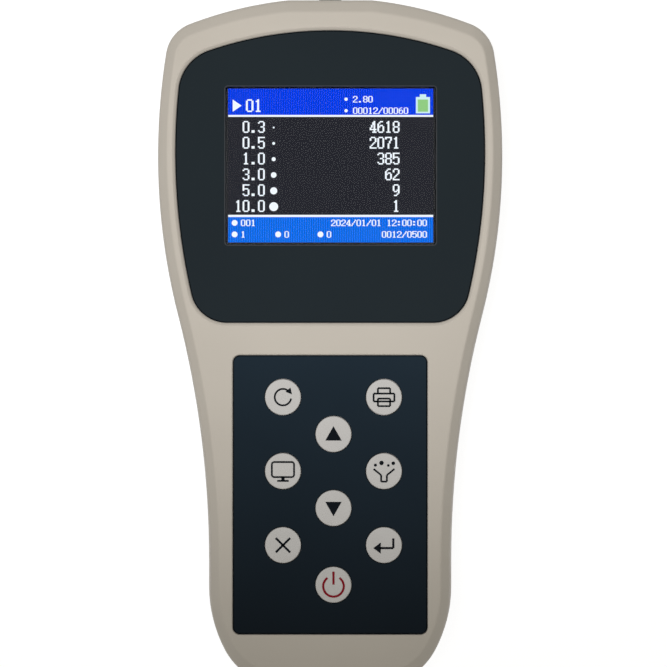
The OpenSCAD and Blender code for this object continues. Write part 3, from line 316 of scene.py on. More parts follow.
def turned_data(profile, place, axis="z", steps=64):
    """A solid of revolution: profile gives radius and height, and ends on the axis or where it starts."""
    verts, faces, rows = [], [], []
    turns = [2 * math.pi * i / steps for i in range(steps)]
    for r, h in profile:
        if r == 0:
            rows.append([len(verts)])
            verts.append((0, 0, h))
            continue
        rows.append([len(verts) + i for i in range(steps)])
        verts += [(r * math.cos(t), r * math.sin(t), h) for t in turns]
    for low, high in zip(rows, rows[1:]):
        for i in range(steps):
            k = (i + 1) % steps
            corners = [low[i % len(low)], low[k % len(low)], high[k % len(high)], high[i % len(high)]]
            face = tuple(dict.fromkeys(corners))
            if len(face) > 2:
                faces.append(face)
    lay = laid_along[axis]
    return [tuple(p + q for p, q in zip(lay(*v), place)) for v in verts], faces


def pin_data(c, r, bottom, top, steps=48):
    return prism_data(circle(c, r, steps), bottom, top)


def box_data(mid, w, length, bottom, top):
    corners = [(mid[0] + sx * w / 2, mid[1] + sy * length / 2) for sx, sy in quarters]
    return prism_data(corners, bottom, top)


def flared_pin(c, r, flare, depth):
    """A round cutter from below with a small chamfer at the surface."""
    section = [(0, -over), (r + flare + over, -over), (r + flare, 0), (r, flare), (r, depth), (0, depth)]
    return turned_data(section, (c[0], c[1], 0), steps=48)


def lying_pin(start, r, length, axis):
    return turned_data([(0, 0), (r, 0), (r, length), (0, length)], start, axis)


def boolean(obj, tool_data, operation="DIFFERENCE"):
    """Cuts or adds the closed solids in tool_data."""
    tool = mesh_object("tool", *tool_data)
    step = obj.modifiers.new("boolean", "BOOLEAN")
    step.object = tool
    step.operation = operation
    step.solver = "EXACT"
    done = bpy.data.meshes.new_from_object(obj.evaluated_get(bpy.context.evaluated_depsgraph_get()))
    obj.modifiers.clear()
    obj.data = done
    bpy.data.objects.remove(tool)


def smooth_by_angle(obj, angle):
    """Smooth shading with sharp edges where faces meet at more than angle degrees."""
    bm = bmesh.new()
    bm.from_mesh(obj.data)
    bmesh.ops.remove_doubles(bm, verts=bm.verts, dist=weld_reach * MM)
    bmesh.ops.dissolve_degenerate(bm, dist=weld_reach * MM, edges=bm.edges)
    for face in bm.faces:
        face.smooth = True
    for bend in bm.edges:
        bend.smooth = len(bend.link_faces) == 2 and bend.calc_face_angle(0) < math.radians(angle)
    bm.to_mesh(obj.data)
    bm.free()
    weigh = obj.modifiers.new("weighted_normals", "WEIGHTED_NORMAL")
    weigh.keep_sharp = True


def finish_piece(obj, material, body=HOUSING, replaced=(), angle=32):
    """Shades a piece, seats it on its body and hides the CAD nodes that it replaces."""
    smooth_by_angle(obj, angle)
    obj.data.materials.clear()
    obj.data.materials.append(material)
    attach(obj, body)
    if replaced:
        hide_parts(*replaced)


# ------------ materials
def linear(level):
    """A level of 0 to 255 in sRGB as a linear value."""
    share = level / 255
    return share / 12.92 if share <= 0.04045 else ((share + 0.055) / 1.055) ** 2.4


def srgb(r, g, b):
    return tuple(linear(level) for level in (r, g, b))


def tinted(colour, factor):
    return tuple(min(1, c * factor) for c in colour)


class Tree:
    """The node tree of a material or world, emptied, with short ways to fill it."""

    def __init__(self, owner):
        owner.use_nodes = True
        self.nodes = owner.node_tree.nodes
        self.links = owner.node_tree.links
        self.nodes.clear()

    def add(self, kind, **settings):
        node = self.nodes.new(kind)
        for key, value in settings.items():
            setattr(node, key, value)
        return node

    def link(self, a, b):
        self.links.new(a, b)

    def fill(self, node, **values):
        """Gives a node's inputs a value, a colour or another node's output."""
        for key, value in values.items():
            socket = node.inputs[key.replace("_", " ")]
            if isinstance(value, bpy.types.NodeSocket):
                self.link(value, socket)
            else:
                socket.default_value = (*value, 1) if isinstance(value, tuple) else value

    def shader(self, kind, **values):
        """The output of a shader node with the given inputs."""
        node = self.add(kind)
        self.fill(node, **values)
        return node.outputs[0]

    def show(self, shading, output):
        self.link(shading, self.add(output).inputs["Surface"])

    def mixed(self, share, a, b):
        """Shading a where share is 0 and b where it is 1."""
        node = self.add("ShaderNodeMixShader")
        for socket, source in zip(node.inputs, (share, a, b)):
            self.link(source, socket)
        return node.outputs[0]

    def seen_share(self):
        """1 where a camera, glossy or transmission ray looks, 0 for the light that falls on things."""
        path = self.add("ShaderNodeLightPath")
        total = path.outputs["Is Camera Ray"]
        for name in ("Is Glossy Ray", "Is Transmission Ray"):
            larger = self.add("ShaderNodeMath", operation="MAXIMUM")
            self.link(total, larger.inputs[0])
            self.link(path.outputs[name], larger.inputs[1])
            total = larger.outputs[0]
        return total


class Surface(Tree):
    """A material with its shader and object coordinates in millimetres."""

    # The noise values between which a colour or a roughness changes
    noise_low = 0.3
    noise_high = 0.7

    def __init__(self, name):
        self.material = bpy.data.materials.new(name)
        super().__init__(self.material)
        self.principled = self.add("ShaderNodeBsdfPrincipled")
        self.show(self.principled.outputs[0], "ShaderNodeOutputMaterial")
        self.place = self.scaled(self.add("ShaderNodeTexCoord").outputs["Object"], 1 / MM)

    def set(self, **values):
        self.fill(self.principled, **values)

    def scaled(self, vector, factor):
        node = self.add("ShaderNodeVectorMath", operation="SCALE")
        self.link(vector, node.inputs[0])
        self.fill(node, Scale=factor)
        return node.outputs[0]

    def noise(self, size, detail=2, roughness=0.5):
        """Noise whose features are about size millimetres across."""
        node = self.add("ShaderNodeTexNoise")
        self.fill(node, Vector=self.place, Scale=1 / size, Detail=detail, Roughness=roughness)
        return node.outputs["Fac"]

    def waves(self, pitch, distortion=0.0):
        """Upright bands, one every pitch millimetres."""
        unscaled_pitch = math.pi / 10
        node = self.add("ShaderNodeTexWave", bands_direction="X")
        self.fill(node, Vector=self.place, Scale=unscaled_pitch / pitch, Distortion=distortion)
        return node.outputs["Fac"]

    def spread(self, value, low, high, out_low, out_high):
        """Takes a value between low and high to one between out_low and out_high."""
        node = self.add("ShaderNodeMapRange")
        self.fill(node, Value=value, From_Min=low, From_Max=high, To_Min=out_low, To_Max=out_high)
        return node.outputs["Result"]

    def shades(self, value, colours):
        """A colour ramp: colours is a list of (position, colour)."""
        node = self.add("ShaderNodeValToRGB")
        ramp = node.color_ramp
        while len(ramp.elements) < len(colours):
            ramp.elements.new(0.5)
        for element, (position, colour) in zip(ramp.elements, colours):
            element.position = position
            element.color = (*colour, 1)
        self.link(value, node.inputs["Fac"])
        return node.outputs["Color"]

    def mottled(self, noise, colour, darker, lighter):
        """The colour times darker where the noise is low, and times lighter where it is high."""
        return self.shades(noise, [(self.noise_low, tinted(colour, darker)),
                                   (self.noise_high, tinted(colour, lighter))])

    def uneven(self, noise, value, less, more):
        """The value less a little where the noise is low and more where it is high."""
        return self.spread(noise, self.noise_low, self.noise_high, value - less, value + more)

    def bump(self, value, height, strength=1.0, under=None):
        """Bump of the given height in millimetres."""
        node = self.add("ShaderNodeBump")
        self.fill(node, Height=value, Distance=height * MM, Strength=strength)
        if under:
            self.fill(node, Normal=under)
        return node.outputs["Normal"]


def moulded(name, colour, roughness=0.5, grain=0.4, height=0.006, vary=0.04, specular=0.4, patch=30):
    """Moulded plastic: a fine even grain, faint cloudy colour and patchy gloss."""
    s = Surface(name)
    s.set(Base_Color=s.mottled(s.noise(patch, detail=3), colour, 1 - vary, 1 + vary),
          Roughness=s.uneven(s.noise(patch / 4), roughness, less=0.04, more=0.05),
          Normal=s.bump(s.noise(grain, detail=4, roughness=0.6), height,
                        under=s.bump(s.noise(grain * 6), height * 0.8)),
          Specular_IOR_Level=specular)
    return s.material


def film(name, colour, colour_low, specular=0.15, painted_shading=None):
    """Printed polycarbonate film: very fine velvet grain and deep colour.

    The last argument, where given, holds the film's lower and upper end and the share of its colour at each: light
    and shade painted along the film."""
    s = Surface(name)
    print_and_painted_shade = s.shades(s.noise(55, detail=3), [(s.noise_low, colour_low), (s.noise_high, colour)])
    if painted_shading:
        parts = s.add("ShaderNodeSeparateXYZ")
        s.link(s.place, parts.inputs[0])
        # Painted light and shade: the colour is scaled from one end of the film to the other.
        print_and_painted_shade = s.scaled(print_and_painted_shade, s.spread(parts.outputs["Y"], *painted_shading))
    s.set(Base_Color=print_and_painted_shade,
          Roughness=s.uneven(s.noise(3, detail=3), 0.34, less=0.03, more=0.04),
          Normal=s.bump(s.noise(0.3), height=0.001, strength=0.4),
          Specular_IOR_Level=specular, IOR=1.45)
    return s.material


def metal(name, colour, roughness=0.4):
    """Metal with a fine grain and patchy gloss."""
    s = Surface(name)
    s.set(Base_Color=s.mottled(s.noise(6, detail=3), colour, 0.92, 1.05),
          Roughness=s.uneven(s.noise(1.2, detail=3), roughness, less=0.06, more=0.08),
          Normal=s.bump(s.noise(0.25, detail=3), height=0.002),
          Metallic=1.0)
    return s.material


def rubber(name, colour, roughness=0.7, grain=0.5, height=0.02):
    s = Surface(name)
    s.set(Base_Color=s.mottled(s.noise(4, detail=3), colour, 0.85, 1.15),
          Normal=s.bump(s.noise(grain, detail=3), height),
          Roughness=roughness, Specular_IOR_Level=0.3)
    return s.material


def clear(name, colour, roughness, ior, patch=8):
    """Clear plastic with slightly uneven gloss."""
    s = Surface(name)
    s.set(Base_Color=colour, Transmission_Weight=1.0, IOR=ior, Specular_IOR_Level=0.5,
          Roughness=s.uneven(s.noise(patch), roughness, less=0, more=0.02))
    return s.material


def circuit_board(name):
    """Green solder resist over winding copper tracks."""
    between = (0.012, 0.10, 0.045)
    over_track = (0.02, 0.17, 0.075)
    s = Surface(name)
    tracks = s.waves(pitch=1.3, distortion=6)
    s.set(Base_Color=s.shades(tracks, [(0.45, between), (0.55, over_track)]),
          Normal=s.bump(tracks, height=0.03), Roughness=0.35)
    return s.material


def glowing(name, colour, strength, stripe=0.0):
    """A lit area of the screen: stripe is how far its upright stripes are from its colour."""
    s = Surface(name)
    stripes = [(0.0, tinted(colour, 1 - stripe)), (1.0, tinted(colour, 1 + stripe))]
    s.set(Base_Color=(0.002, 0.002, 0.002), Roughness=0.5, Specular_IOR_Level=0.0,
          Emission_Color=s.shades(s.waves(pitch=0.8), stripes), Emission_Strength=strength)
    return s.material


def ink(name, colour, roughness=0.45, specular=0.06):
    s = Surface(name)
    s.set(Base_Color=s.mottled(s.noise(1.2, detail=3), colour, 0.9, 1.12),
          Roughness=roughness, Specular_IOR_Level=specular)
    return s.material


shell_plastic = moulded("shell_plastic", (0.520, 0.478, 0.425), roughness=0.52, grain=0.32, height=0.005,
                        vary=0.02, specular=0.35)
key_plastic = moulded("key_plastic", (0.540, 0.527, 0.518), grain=0.28, height=0.003, vary=0.02,
                      specular=0.3, patch=6)
inlet_plastic = moulded("inlet_dark", (0.055, 0.048, 0.043), roughness=0.38, vary=0.08,
                        specular=0.5, patch=8)
display_film = film("display_film", (0.0095, 0.0155, 0.0195), (0.0085, 0.014, 0.018))
# The keypad film is painted darker towards its lower end and lighter towards its upper end: painted shade and
# light.
keypad_film = film("keypad_film", (0.0095, 0.0165, 0.0245), (0.0080, 0.0142, 0.0212), specular=0.05,
                   painted_shading=(keypad_low.y, keypad_high.y, 0.62, 1.5))
dark_ink = ink("dark_ink", (0.0055, 0.0075, 0.0105), specular=0.03)
red_ink = ink("red_ink", (0.225, 0.008, 0.016))
# A lighter hairline of painted highlight, where light would catch the edge of the screen's cut-out
rim_painted_highlight = ink("film_edge_painted_highlight", (0.044, 0.047, 0.052), roughness=0.3, specular=0.15)
# A near-black line of painted shade, where shade falls in the gap round the films' edges
edge_painted_shade = ink("edge_painted_shade", (0.0022, 0.0028, 0.0036), roughness=0.5, specular=0.02)

by_slot = {
    "shell": shell_plastic,
    "display_film": display_film,
    "keypad_film": keypad_film,
    "window": clear("window_clear", (0.97, 0.98, 1.0), roughness=0.0, ior=1.12),
    "foam": rubber("foam_black", (0.02, 0.02, 0.02), roughness=0.9, grain=0.4, height=0.08),
    "screen": moulded("panel_dark", (0.012, 0.013, 0.017), roughness=0.2, grain=2.0, height=0.001,
                      vary=0.1, specular=0.3),
    "black_plastic": moulded("plastic_black", (0.02, 0.02, 0.022), roughness=0.45, height=0.012,
                             vary=0.1, specular=0.45, patch=10),
    "ribbon": moulded("ribbon_amber", (0.45, 0.2, 0.05), roughness=0.3, grain=0.6, height=0.004,
                      vary=0.08, specular=0.5, patch=5),
    "key": key_plastic,
    "board": circuit_board("board_green"),
    "connector": moulded("connector_ivory", (0.68, 0.63, 0.52), roughness=0.45, specular=0.45, patch=6),
    "steel": metal("steel", (0.33, 0.33, 0.34)),
    "inlet": inlet_plastic,
    "rubber": rubber("rubber_black", (0.02, 0.02, 0.02)),
    "anodised": metal("anodised_black", (0.05, 0.05, 0.055)),
    "brass": metal("brass", (0.52, 0.36, 0.14), roughness=0.36),
    "mirror": metal("mirror", (0.85, 0.85, 0.87), roughness=0.08),
    "tube": clear("tube_silicone", (0.82, 0.81, 0.77), roughness=0.35, ior=1.4, patch=3),
    "pump_plastic": moulded("pump_grey", (0.05, 0.055, 0.065), grain=0.5, height=0.015, vary=0.08, patch=12),
    "filter": moulded("filter_white", (0.78, 0.78, 0.74), roughness=0.35, grain=0.6, height=0.004,
                      vary=0.03, specular=0.5, patch=12),
    "battery_wrap": moulded("battery_blue", (0.02, 0.06, 0.26), roughness=0.25, grain=2.5, height=0.02,
                            vary=0.08, specular=0.5, patch=15),
    "lead": moulded("lead_red", (0.38, 0.02, 0.02), roughness=0.4, grain=0.5, height=0.004,
                    vary=0.06, specular=0.5, patch=5),
}

# ------------ CAD nodes: materials and soft edges
node_weld_reach = 0.001
flattest_bevelled = 35
soft_edges = {"battery_cover": 0.25, "usb_socket": 0.08, "display_window": 0.1}


def soften_node(node, width):
    """Rounds a node's edges where its faces meet at more than the angle flattest_bevelled."""
    weld = node.modifiers.new("weld", "WELD")
    weld.merge_threshold = node_weld_reach * MM
    bevel = node.modifiers.new("soft_edges", "BEVEL")
    bevel.width = width * MM
    bevel.segments = 2
    bevel.limit_method = "ANGLE"
    bevel.angle_limit = math.radians(flattest_bevelled)
    bevel.harden_normals = True


for part in frame["record"]["subparts"]:
    node = frame["nodes"][part["node"]]
    node.data.materials.clear()
    node.data.materials.append(by_slot[part["material_slot"]])
for name, width in soft_edges.items():
    soften_node(frame["nodes"][name], width)

# ------------ front shell
# Pairs give how far a ring lies in, at the sides and at the ends
face_run = (3.4, 3.6)
shoulder_top_in = (0.1, 0.15)
shoulder_low_in = (1.2, 1.95)
shoulder_low_drop = 0.2
shoulder_top_soft = 0.9
shoulder_low_soft = 1.8
seam_soft = 0.2
end_draft = 0.3
inner_drop = 2.4
lap_in = wall / 2 + lap_clearance
front_outer = softened(
    [(shoulder_w + face_run[0], shoulder_end_w + face_run[1], face_z),
     (shoulder_w + shoulder_top_in[0], shoulder_end_w + shoulder_top_in[1], face_z),
     (*shoulder_low_in, shoulder_foot - shoulder_low_drop),
     (0, 0, seam_high + seam_chamfer),
     (seam_chamfer, seam_chamfer, seam_high),
     (lap_in, lap_in, seam_high)],
    [shoulder_top_soft, shoulder_low_soft, seam_soft, 0])
front_inner = [
    (lap_in, lap_in, seam_z - lap_h),
    (wall, wall, seam_z - lap_h),
    (inner_in, inner_in + end_draft, shoulder_foot - draft - inner_drop),
    (shoulder_w + draft, shoulder_end_w + draft, ceiling_z)]
front_skin = loft("front_skin", [housing_ring(*ring) for ring in front_outer + front_inner])

# The display overlay's outline, with its long sides parallel to the housing's
overlay_margin = 7.2
overlay_crown_r = 128
overlay_corner_r = 15.5
overlay_foot_r = 12.5
overlay_side_r = head_r - overlay_margin
overlay_crown_c = (0, overlay_high.y - overlay_crown_r)
overlay_corner_c = meet(overlay_crown_c, overlay_crown_r - overlay_corner_r,
                        head_c, overlay_side_r - overlay_corner_r)
overlay_foot_drop = overlay_low.y + overlay_foot_r - head_c[1]
overlay_foot_run = math.sqrt((overlay_side_r - overlay_foot_r) ** 2 - overlay_foot_drop ** 2)
overlay_foot_c = (head_c[0] + overlay_foot_run, overlay_low.y + overlay_foot_r)
overlay_crown_turn = heading(overlay_crown_c, overlay_corner_c)
overlay_corner_turn = heading(head_c, overlay_corner_c)
overlay_foot_turn = heading(head_c, overlay_foot_c)
overlay_steps = 18
overlay_side_steps = 20


def overlay_outline(d):
    """The display overlay's outline, moved outwards by d."""
    return whole(
        arc(overlay_crown_c, overlay_crown_r + d, 90, overlay_crown_turn, overlay_steps)
        + arc(overlay_corner_c, overlay_corner_r + d, overlay_crown_turn, overlay_corner_turn, overlay_steps)
        + arc(head_c, overlay_side_r + d, overlay_corner_turn, overlay_foot_turn, overlay_side_steps)
        + arc(overlay_foot_c, overlay_foot_r + d, overlay_foot_turn, -90, overlay_steps)
        + [(overlay_foot_c[0], overlay_low.y - d), (0, overlay_low.y - d)])


keypad_w = keypad_high.x - keypad_low.x
keypad_len = keypad_high.y - keypad_low.y
keypad_corner_r = 2.4


def keypad_outline(d):
    return rounded_rect(keypad_mid, keypad_w + 2 * d, keypad_len + 2 * d, keypad_corner_r + d)


# A recess has an upright wall round the film, and a lip that slopes up to the face
overlay_gap = 0.15
lip_lean = 0.02
lip_face_soft = 0.3
lip_run = 0.5
lip_end = 0.6


def recess_data(outline_at, floor_z, lip, reach, drop):
    """A recess cutter, whose lip starts drop below the face and reaches out to reach."""
    slope = softened([(overlay_gap, face_z - drop - lip), (overlay_gap + lip_lean, face_z - drop),
                      (reach, face_z - lip_lean), (reach + lip_run, face_z)], [lip, lip_face_soft], steps=4)
    steps = [(overlay_gap, floor_z)] + slope[:-1] + [(reach + lip_end, face_z + over)]
    return loft_data(rings_of(outline_at, steps))


display_lip = 0.2
display_bevel = 0.85
keypad_lip = 0.1
keypad_bevel = 0.22
keypad_sunk = 0.24
key_d = 12.2
key_gap = 0.2
window_w = window_high.x - window_low.x
window_h = window_high.y - window_low.y
boolean(front_skin, recess_data(overlay_outline, overlay_bottom, display_lip, overlay_gap + display_bevel,
                                face_z - overlay_top))
boolean(front_skin, recess_data(keypad_outline, keypad_low.z, keypad_lip, overlay_gap + keypad_bevel,
                                keypad_sunk))
holes = [box_data(screen_mid, window_w + 2 * overlay_gap, window_h + 2 * overlay_gap,
                  ceiling_z - over, face_z + over)]
holes += [pin_data(mid, key_d / 2 + key_gap, ceiling_z - over, face_z + over) for mid in key_mids.values()]
boolean(front_skin, merged(holes))
finish_piece(front_skin, shell_plastic, replaced=("front_shell",), angle=28)

# ------------ rear shell
back_run = 2.5
end_stretch = 1.25
lap_slack = 0.2
lap_floor = seam_z - lap_h - lap_slack
# How far the inner floor's soft edge reaches in at the sides and the ends, and up
floor_edge = [(1.2, 1.2, 1.4), (3.4, 3.8, 0)]


def back_edge(turn):
    """A ring of the back's rounded edge, from the back at 0 degrees to the side at 90."""
    inset = back_r * (1 - math.sin(math.radians(turn)))
    return (inset + draft, inset * end_stretch + draft, back_r * (1 - math.cos(math.radians(turn))))


back_rings = [back_edge(turn) for turn in range(0, 91, 15)]
back_start = (back_rings[0][0] + back_run, back_rings[0][1] + back_run, 0)
rear_section = [back_start] + back_rings + [
    (0, 0, seam_low - seam_chamfer),
    (seam_chamfer, seam_chamfer, seam_low),
    (wall / 2, wall / 2, seam_low),
    (wall / 2, wall / 2, lap_floor),
    (wall, wall, lap_floor),
    (inner_in, inner_in, back_r + 1)]
rear_section += [(inner_in + side, inner_in + end, floor_t + up) for side, end, up in floor_edge]
rear_skin = loft("rear_skin", [housing_ring(*ring) for ring in rear_section])

boss_d = 9.6
boss_over_well = 6
well_d = 6.6
well_depth = 8
well_flare = 0.3
screw_hole_d = 3.4
screw_run = 8
# How far each pair of screws lies from the middle, and where along the housing
screw_rows = ((42, seat_y - 18), (40, seat_y - 127), (27, foot_y + 17))
screw_spots = [(side * x, y) for side in (-1, 1) for x, y in screw_rows]
insert_r = 5.0
insert_collar_r = 6.0
insert_collar_sunk = 1.4
insert_hole_from = 1
insert_flare = 0.25
insert_post_r = 7.6
insert_post_over = 1.6
posts = [pin_data(p, boss_d / 2, floor_t - sink, well_depth + boss_over_well) for p in screw_spots]
posts.append(pin_data(tripod_mid, insert_post_r, floor_t - sink, tripod_top + insert_post_over))
boolean(rear_skin, merged(posts), "UNION")

# The cover's seat reaches past the battery bay by cover_lap on each side and by cover_ear at each end
cover_gap = 0.3
cover_t = 1.8
cover_r = 4.3
cover_flare = 0.25
cover_lap = 3.3
cover_ear = 8.3
cover_hole_w = cover_high.x - cover_low.x + 2 * cover_gap
cover_hole_len = cover_high.y - cover_low.y + 2 * cover_gap
cover_steps = [(cover_flare + over, -over), (cover_flare, 0), (0, cover_flare), (0, cover_t)]


def cover_outline(d):
    return rounded_rect(cover_mid, cover_hole_w + 2 * d, cover_hole_len + 2 * d, cover_r)


shallow = [loft_data(rings_of(cover_outline, cover_steps))]
shallow += [flared_pin(p, well_d / 2, well_flare, well_depth) for p in screw_spots]
shallow.append(flared_pin(tripod_mid, insert_collar_r, insert_flare, insert_collar_sunk))
boolean(rear_skin, merged(shallow))
deep = [box_data(cover_mid, cover_hole_w - 2 * cover_lap, cover_hole_len - 2 * cover_ear, 0, floor_t + over),
        pin_data(tripod_mid, insert_r, insert_hole_from, tripod_top)]
deep += [pin_data(p, screw_hole_d / 2, well_depth - over, well_depth + screw_run, steps=32)
         for p in screw_spots]
boolean(rear_skin, merged(deep))

# Openings in the walls: air inlet, exhaust, USB socket and power socket
shank_d = 7.2
port_flange_d = 13.4
port_flange_t = 1.2
port_neck_d = 9.2
usb_w = 9.4
usb_h = 3.6
usb_corner_r = 0.9
jack_d = 8.4
wall_run = 3 * wall
usb_hole = rounded_rect((usb_mid.x, usb_mid.z), usb_w, usb_h, usb_corner_r, steps=6)
wall_cuts = [
    lying_pin((0, seat_y - 2 * wall, air_z), shank_d / 2 + lap_clearance, wall_run, "y"),
    lying_pin((port_face_x + 2 * wall, port_mid.y, port_mid.z), port_neck_d / 2, wall_run, "-x"),
    loft_data([[(x, y, z) for x, z in usb_hole] for y in (foot_y - wall, foot_y + 2 * wall)]),
    lying_pin((jack_mid.x, foot_y - wall, jack_mid.z), jack_d / 2, wall_run, "y")]
boolean(rear_skin, merged(wall_cuts))
flange_seat = (port_face_x + port_flange_t, port_mid.y, port_mid.z)
boolean(rear_skin, lying_pin(flange_seat, port_flange_d / 2, wall_run, "-x"))
finish_piece(rear_skin, shell_plastic, replaced=("rear_shell",), angle=28)

# ------------ overlays
screen_w = 70.08
screen_h = 52.56
margin_x = 0.8
margin_y = 0.6
opening_r = 0.8
opening_shift = 0.2
edge = 0.12
edge_near = 0.3 * edge
line_sunk = 0.05
line_proud = 0.015
rim_w = 0.28
edge_shade_w = 0.3
opening_w = screen_w + 2 * margin_x
opening_h = screen_h + 2 * margin_y
opening_mid = (screen_mid.x + opening_shift, screen_mid.y)


def opening_outline(d):
    return rounded_rect(opening_mid, opening_w + 2 * d, opening_h + 2 * d, opening_r + d)


def sheet(name, outline_at, bottom, top):
    """A film with a soft upper edge."""
    steps = [(0, bottom), (0, top - edge), (-edge_near, top - edge_near), (-edge, top)]
    return loft(name, rings_of(outline_at, steps))


def edge_band(name, outline_at, outer, inner, top, material):
    """A fine line along a film's edge, between two offsets of its outline: a painted highlight round the screen's
    cut-out, and painted shade along the films' outer edges.
    """
    band = mesh_object(name, *prism_data(outline_at(outer), top - line_sunk, top + line_proud))
    boolean(band, prism_data(outline_at(inner), top - over, top + over))
    finish_piece(band, material)


# The films have a dark line of painted shade along their edges, where shade falls in the gap, and a fine lighter
# line of painted highlight round the screen's cut-out
display_skin = sheet("display_panel", overlay_outline, overlay_bottom, overlay_top)
opening_steps = [(0, overlay_bottom - over), (0, overlay_top - edge), (edge, overlay_top),
                 (edge + over, overlay_top + over)]
boolean(display_skin, loft_data(rings_of(opening_outline, opening_steps)))
finish_piece(display_skin, display_film, replaced=("display_overlay",))
edge_band("window_rim", opening_outline, edge + rim_w, edge, overlay_top, rim_painted_highlight)
edge_band("display_edge_shade", overlay_outline, -edge, -edge - edge_shade_w, overlay_top, edge_painted_shade)

keypad_skin = sheet("keypad_panel", keypad_outline, keypad_low.z, keypad_high.z)
hole_r = key_d / 2 + key_gap
hole_section = [(0, keypad_low.z - over), (hole_r, keypad_low.z - over), (hole_r, keypad_high.z - edge),
                (hole_r + edge, keypad_high.z), (hole_r + edge + over, keypad_high.z + over),
                (0, keypad_high.z + over)]
keypad_holes = [turned_data(hole_section, (mid.x, mid.y, 0), steps=96) for mid in key_mids.values()]
boolean(keypad_skin, merged(keypad_holes))
finish_piece(keypad_skin, keypad_film, replaced=("keypad_overlay",))
# Painted shade along the keypad film's edge
edge_band("keypad_edge_shade", keypad_outline, -edge, -edge - edge_shade_w, keypad_high.z, edge_painted_shade)

# ------------ keys
print_t = 0.05
key_top = key_high.z - print_t
stem_r = 2
stem_soft = 0.2
flange_r = (key_high.x - key_low.x) / 2
flange_t = 1
flange_gap = 0.2
flange_soft = 0.1
flange_top = ceiling_z - flange_gap
rim_run = 0.75
rim_drop = 0.12
rim_soft = 0.45
crown_drop = 0.03
crown_soft = 0.5
key_profile = softened(
    [(0, key_low.z), (stem_r, key_low.z), (stem_r, flange_top - flange_t), (flange_r, flange_top - flange_t),
     (flange_r, flange_top), (key_d / 2, flange_top), (key_d / 2, key_top - rim_drop),
     (key_d / 2 - rim_run, key_top - crown_drop), (0, key_top)],
    [stem_soft, 0, flange_soft, flange_soft, 0, rim_soft, crown_soft])


def stroke(points, width, closed=False):
    """An outline of even width along a polyline, as pieces that overlap at the bends."""
    pieces = []
    ends = points[1:] + points[:1] if closed else points[1:]
    for a, b in zip(points, ends):
        d = math.dist(a, b)
        n = ((b[1] - a[1]) / d * width / 2, -(b[0] - a[0]) / d * width / 2)
        pieces.append([(a[0] + n[0], a[1] + n[1]), (a[0] - n[0], a[1] - n[1]),
                       (b[0] - n[0], b[1] - n[1]), (b[0] + n[0], b[1] + n[1])])
    return pieces


def bow(c, r, width, start, end, steps=40):
    """A curved stroke."""
    outer = arc(c, r + width / 2, start, end, steps, with_end=True)
    inner = arc(c, r - width / 2, start, end, steps, with_end=True)
    return [outer + inner[::-1]]


# Widths of the signs' lines
line_w = 0.5
bold_w = 0.6
power_w = 0.74
post_w = 0.9


def reset_sign():
    arrow = [(0.7, 1.5), (2.1, 2.7), (2.5, 0.8)]
    return bow((0, 0), 2.3, line_w, 55, 350) + [arrow]


def print_sign():
    body = [(-2.9, 1.0), (2.9, 1.0), (2.9, -1.2), (-2.9, -1.2)]
    feed = [(-1.7, 1.0), (-1.7, 2.5), (1.7, 2.5), (1.7, 1.0)]
    paper = [(-1.7, -0.4), (1.7, -0.4), (1.7, -2.5), (-1.7, -2.5)]
    return stroke(body, line_w, True) + stroke(feed, line_w) + stroke(paper, line_w, True)


def display_sign():
    monitor = rounded_rect((0, 0.45), 6.2, 4.2, 0.6, steps=3)
    post = [(0, -1.7), (0, -2.6)]
    foot = [(-1.6, -2.7), (1.6, -2.7)]
    return stroke(monitor, line_w, True) + stroke(post, post_w) + stroke(foot, line_w)


def sample_sign():
    dots = (((-2.4, 1.7), 0.42), ((-0.7, 2.3), 0.62), ((1.2, 1.6), 0.36), ((2.6, 2.2), 0.5))
    funnel = [(-2.9, 0.6), (-0.8, -1.1), (-0.8, -2.9), (0.8, -2.9), (0.8, -1.1), (2.9, 0.6)]
    return [circle(c, r, steps=20) for c, r in dots] + stroke(funnel, line_w)


def escape_sign():
    return stroke([(-2.0, -2.0), (2.0, 2.0)], bold_w) + stroke([(-2.0, 2.0), (2.0, -2.0)], bold_w)


def enter_sign():
    arrow = [(-3.0, -0.8), (-0.9, 0.75), (-0.9, -2.35)]
    return stroke([(2.6, 1.9), (2.6, -0.8), (-1.2, -0.8)], bold_w) + [arrow]


def up_sign():
    return [[(-2.78, -2.16), (2.78, -2.16), (0, 2.74)]]


def down_sign():
    return [[(x, -y) for x, y in triangle] for triangle in up_sign()]


def power_sign():
    return bow((0, -0.5), 3.5, power_w, 125, 415, steps=60) + stroke([(0, 0.1), (0, 4.5)], power_w)


signs = {"reset": reset_sign, "print": print_sign, "display": display_sign, "sample": sample_sign,
         "escape": escape_sign, "enter": enter_sign, "up": up_sign, "down": down_sign, "power": power_sign}
full_size_signs = ("up", "down", "power")
enlarged = 1.22
for key in key_names:
    mid = key_mids[key]
    body = key + "_key"
    cap = mesh_object("cap_" + key, *turned_data(key_profile, (mid.x, mid.y, 0), steps=96))
    finish_piece(cap, key_plastic, body, ("key_" + key,))
    scale = 1 if key in full_size_signs else enlarged
    outlines = [[(x * scale + mid.x, y * scale + mid.y) for x, y in outline] for outline in signs[key]()]
    prints = merged([prism_data(outline, key_top - print_t, key_top + print_t) for outline in outlines])
    finish_piece(mesh_object("sign_" + key, *prints), red_ink if key == "power" else dark_ink, body)

# ------------ screen, drawn in its own 320 by 240 pixels
columns = 320
rows = 240
pixel_w = screen_w / columns
pixel_h = screen_h / rows
layer_t = 0.02
lit_shift = 0.2
lit_mid = (screen_mid.x + lit_shift, screen_mid.y + lit_shift)


def on_screen(x, y):
    """The place of a screen pixel, counted from the top left corner."""
    return (lit_mid[0] - screen_w / 2 + x * pixel_w, lit_mid[1] + screen_h / 2 - y * pixel_h)


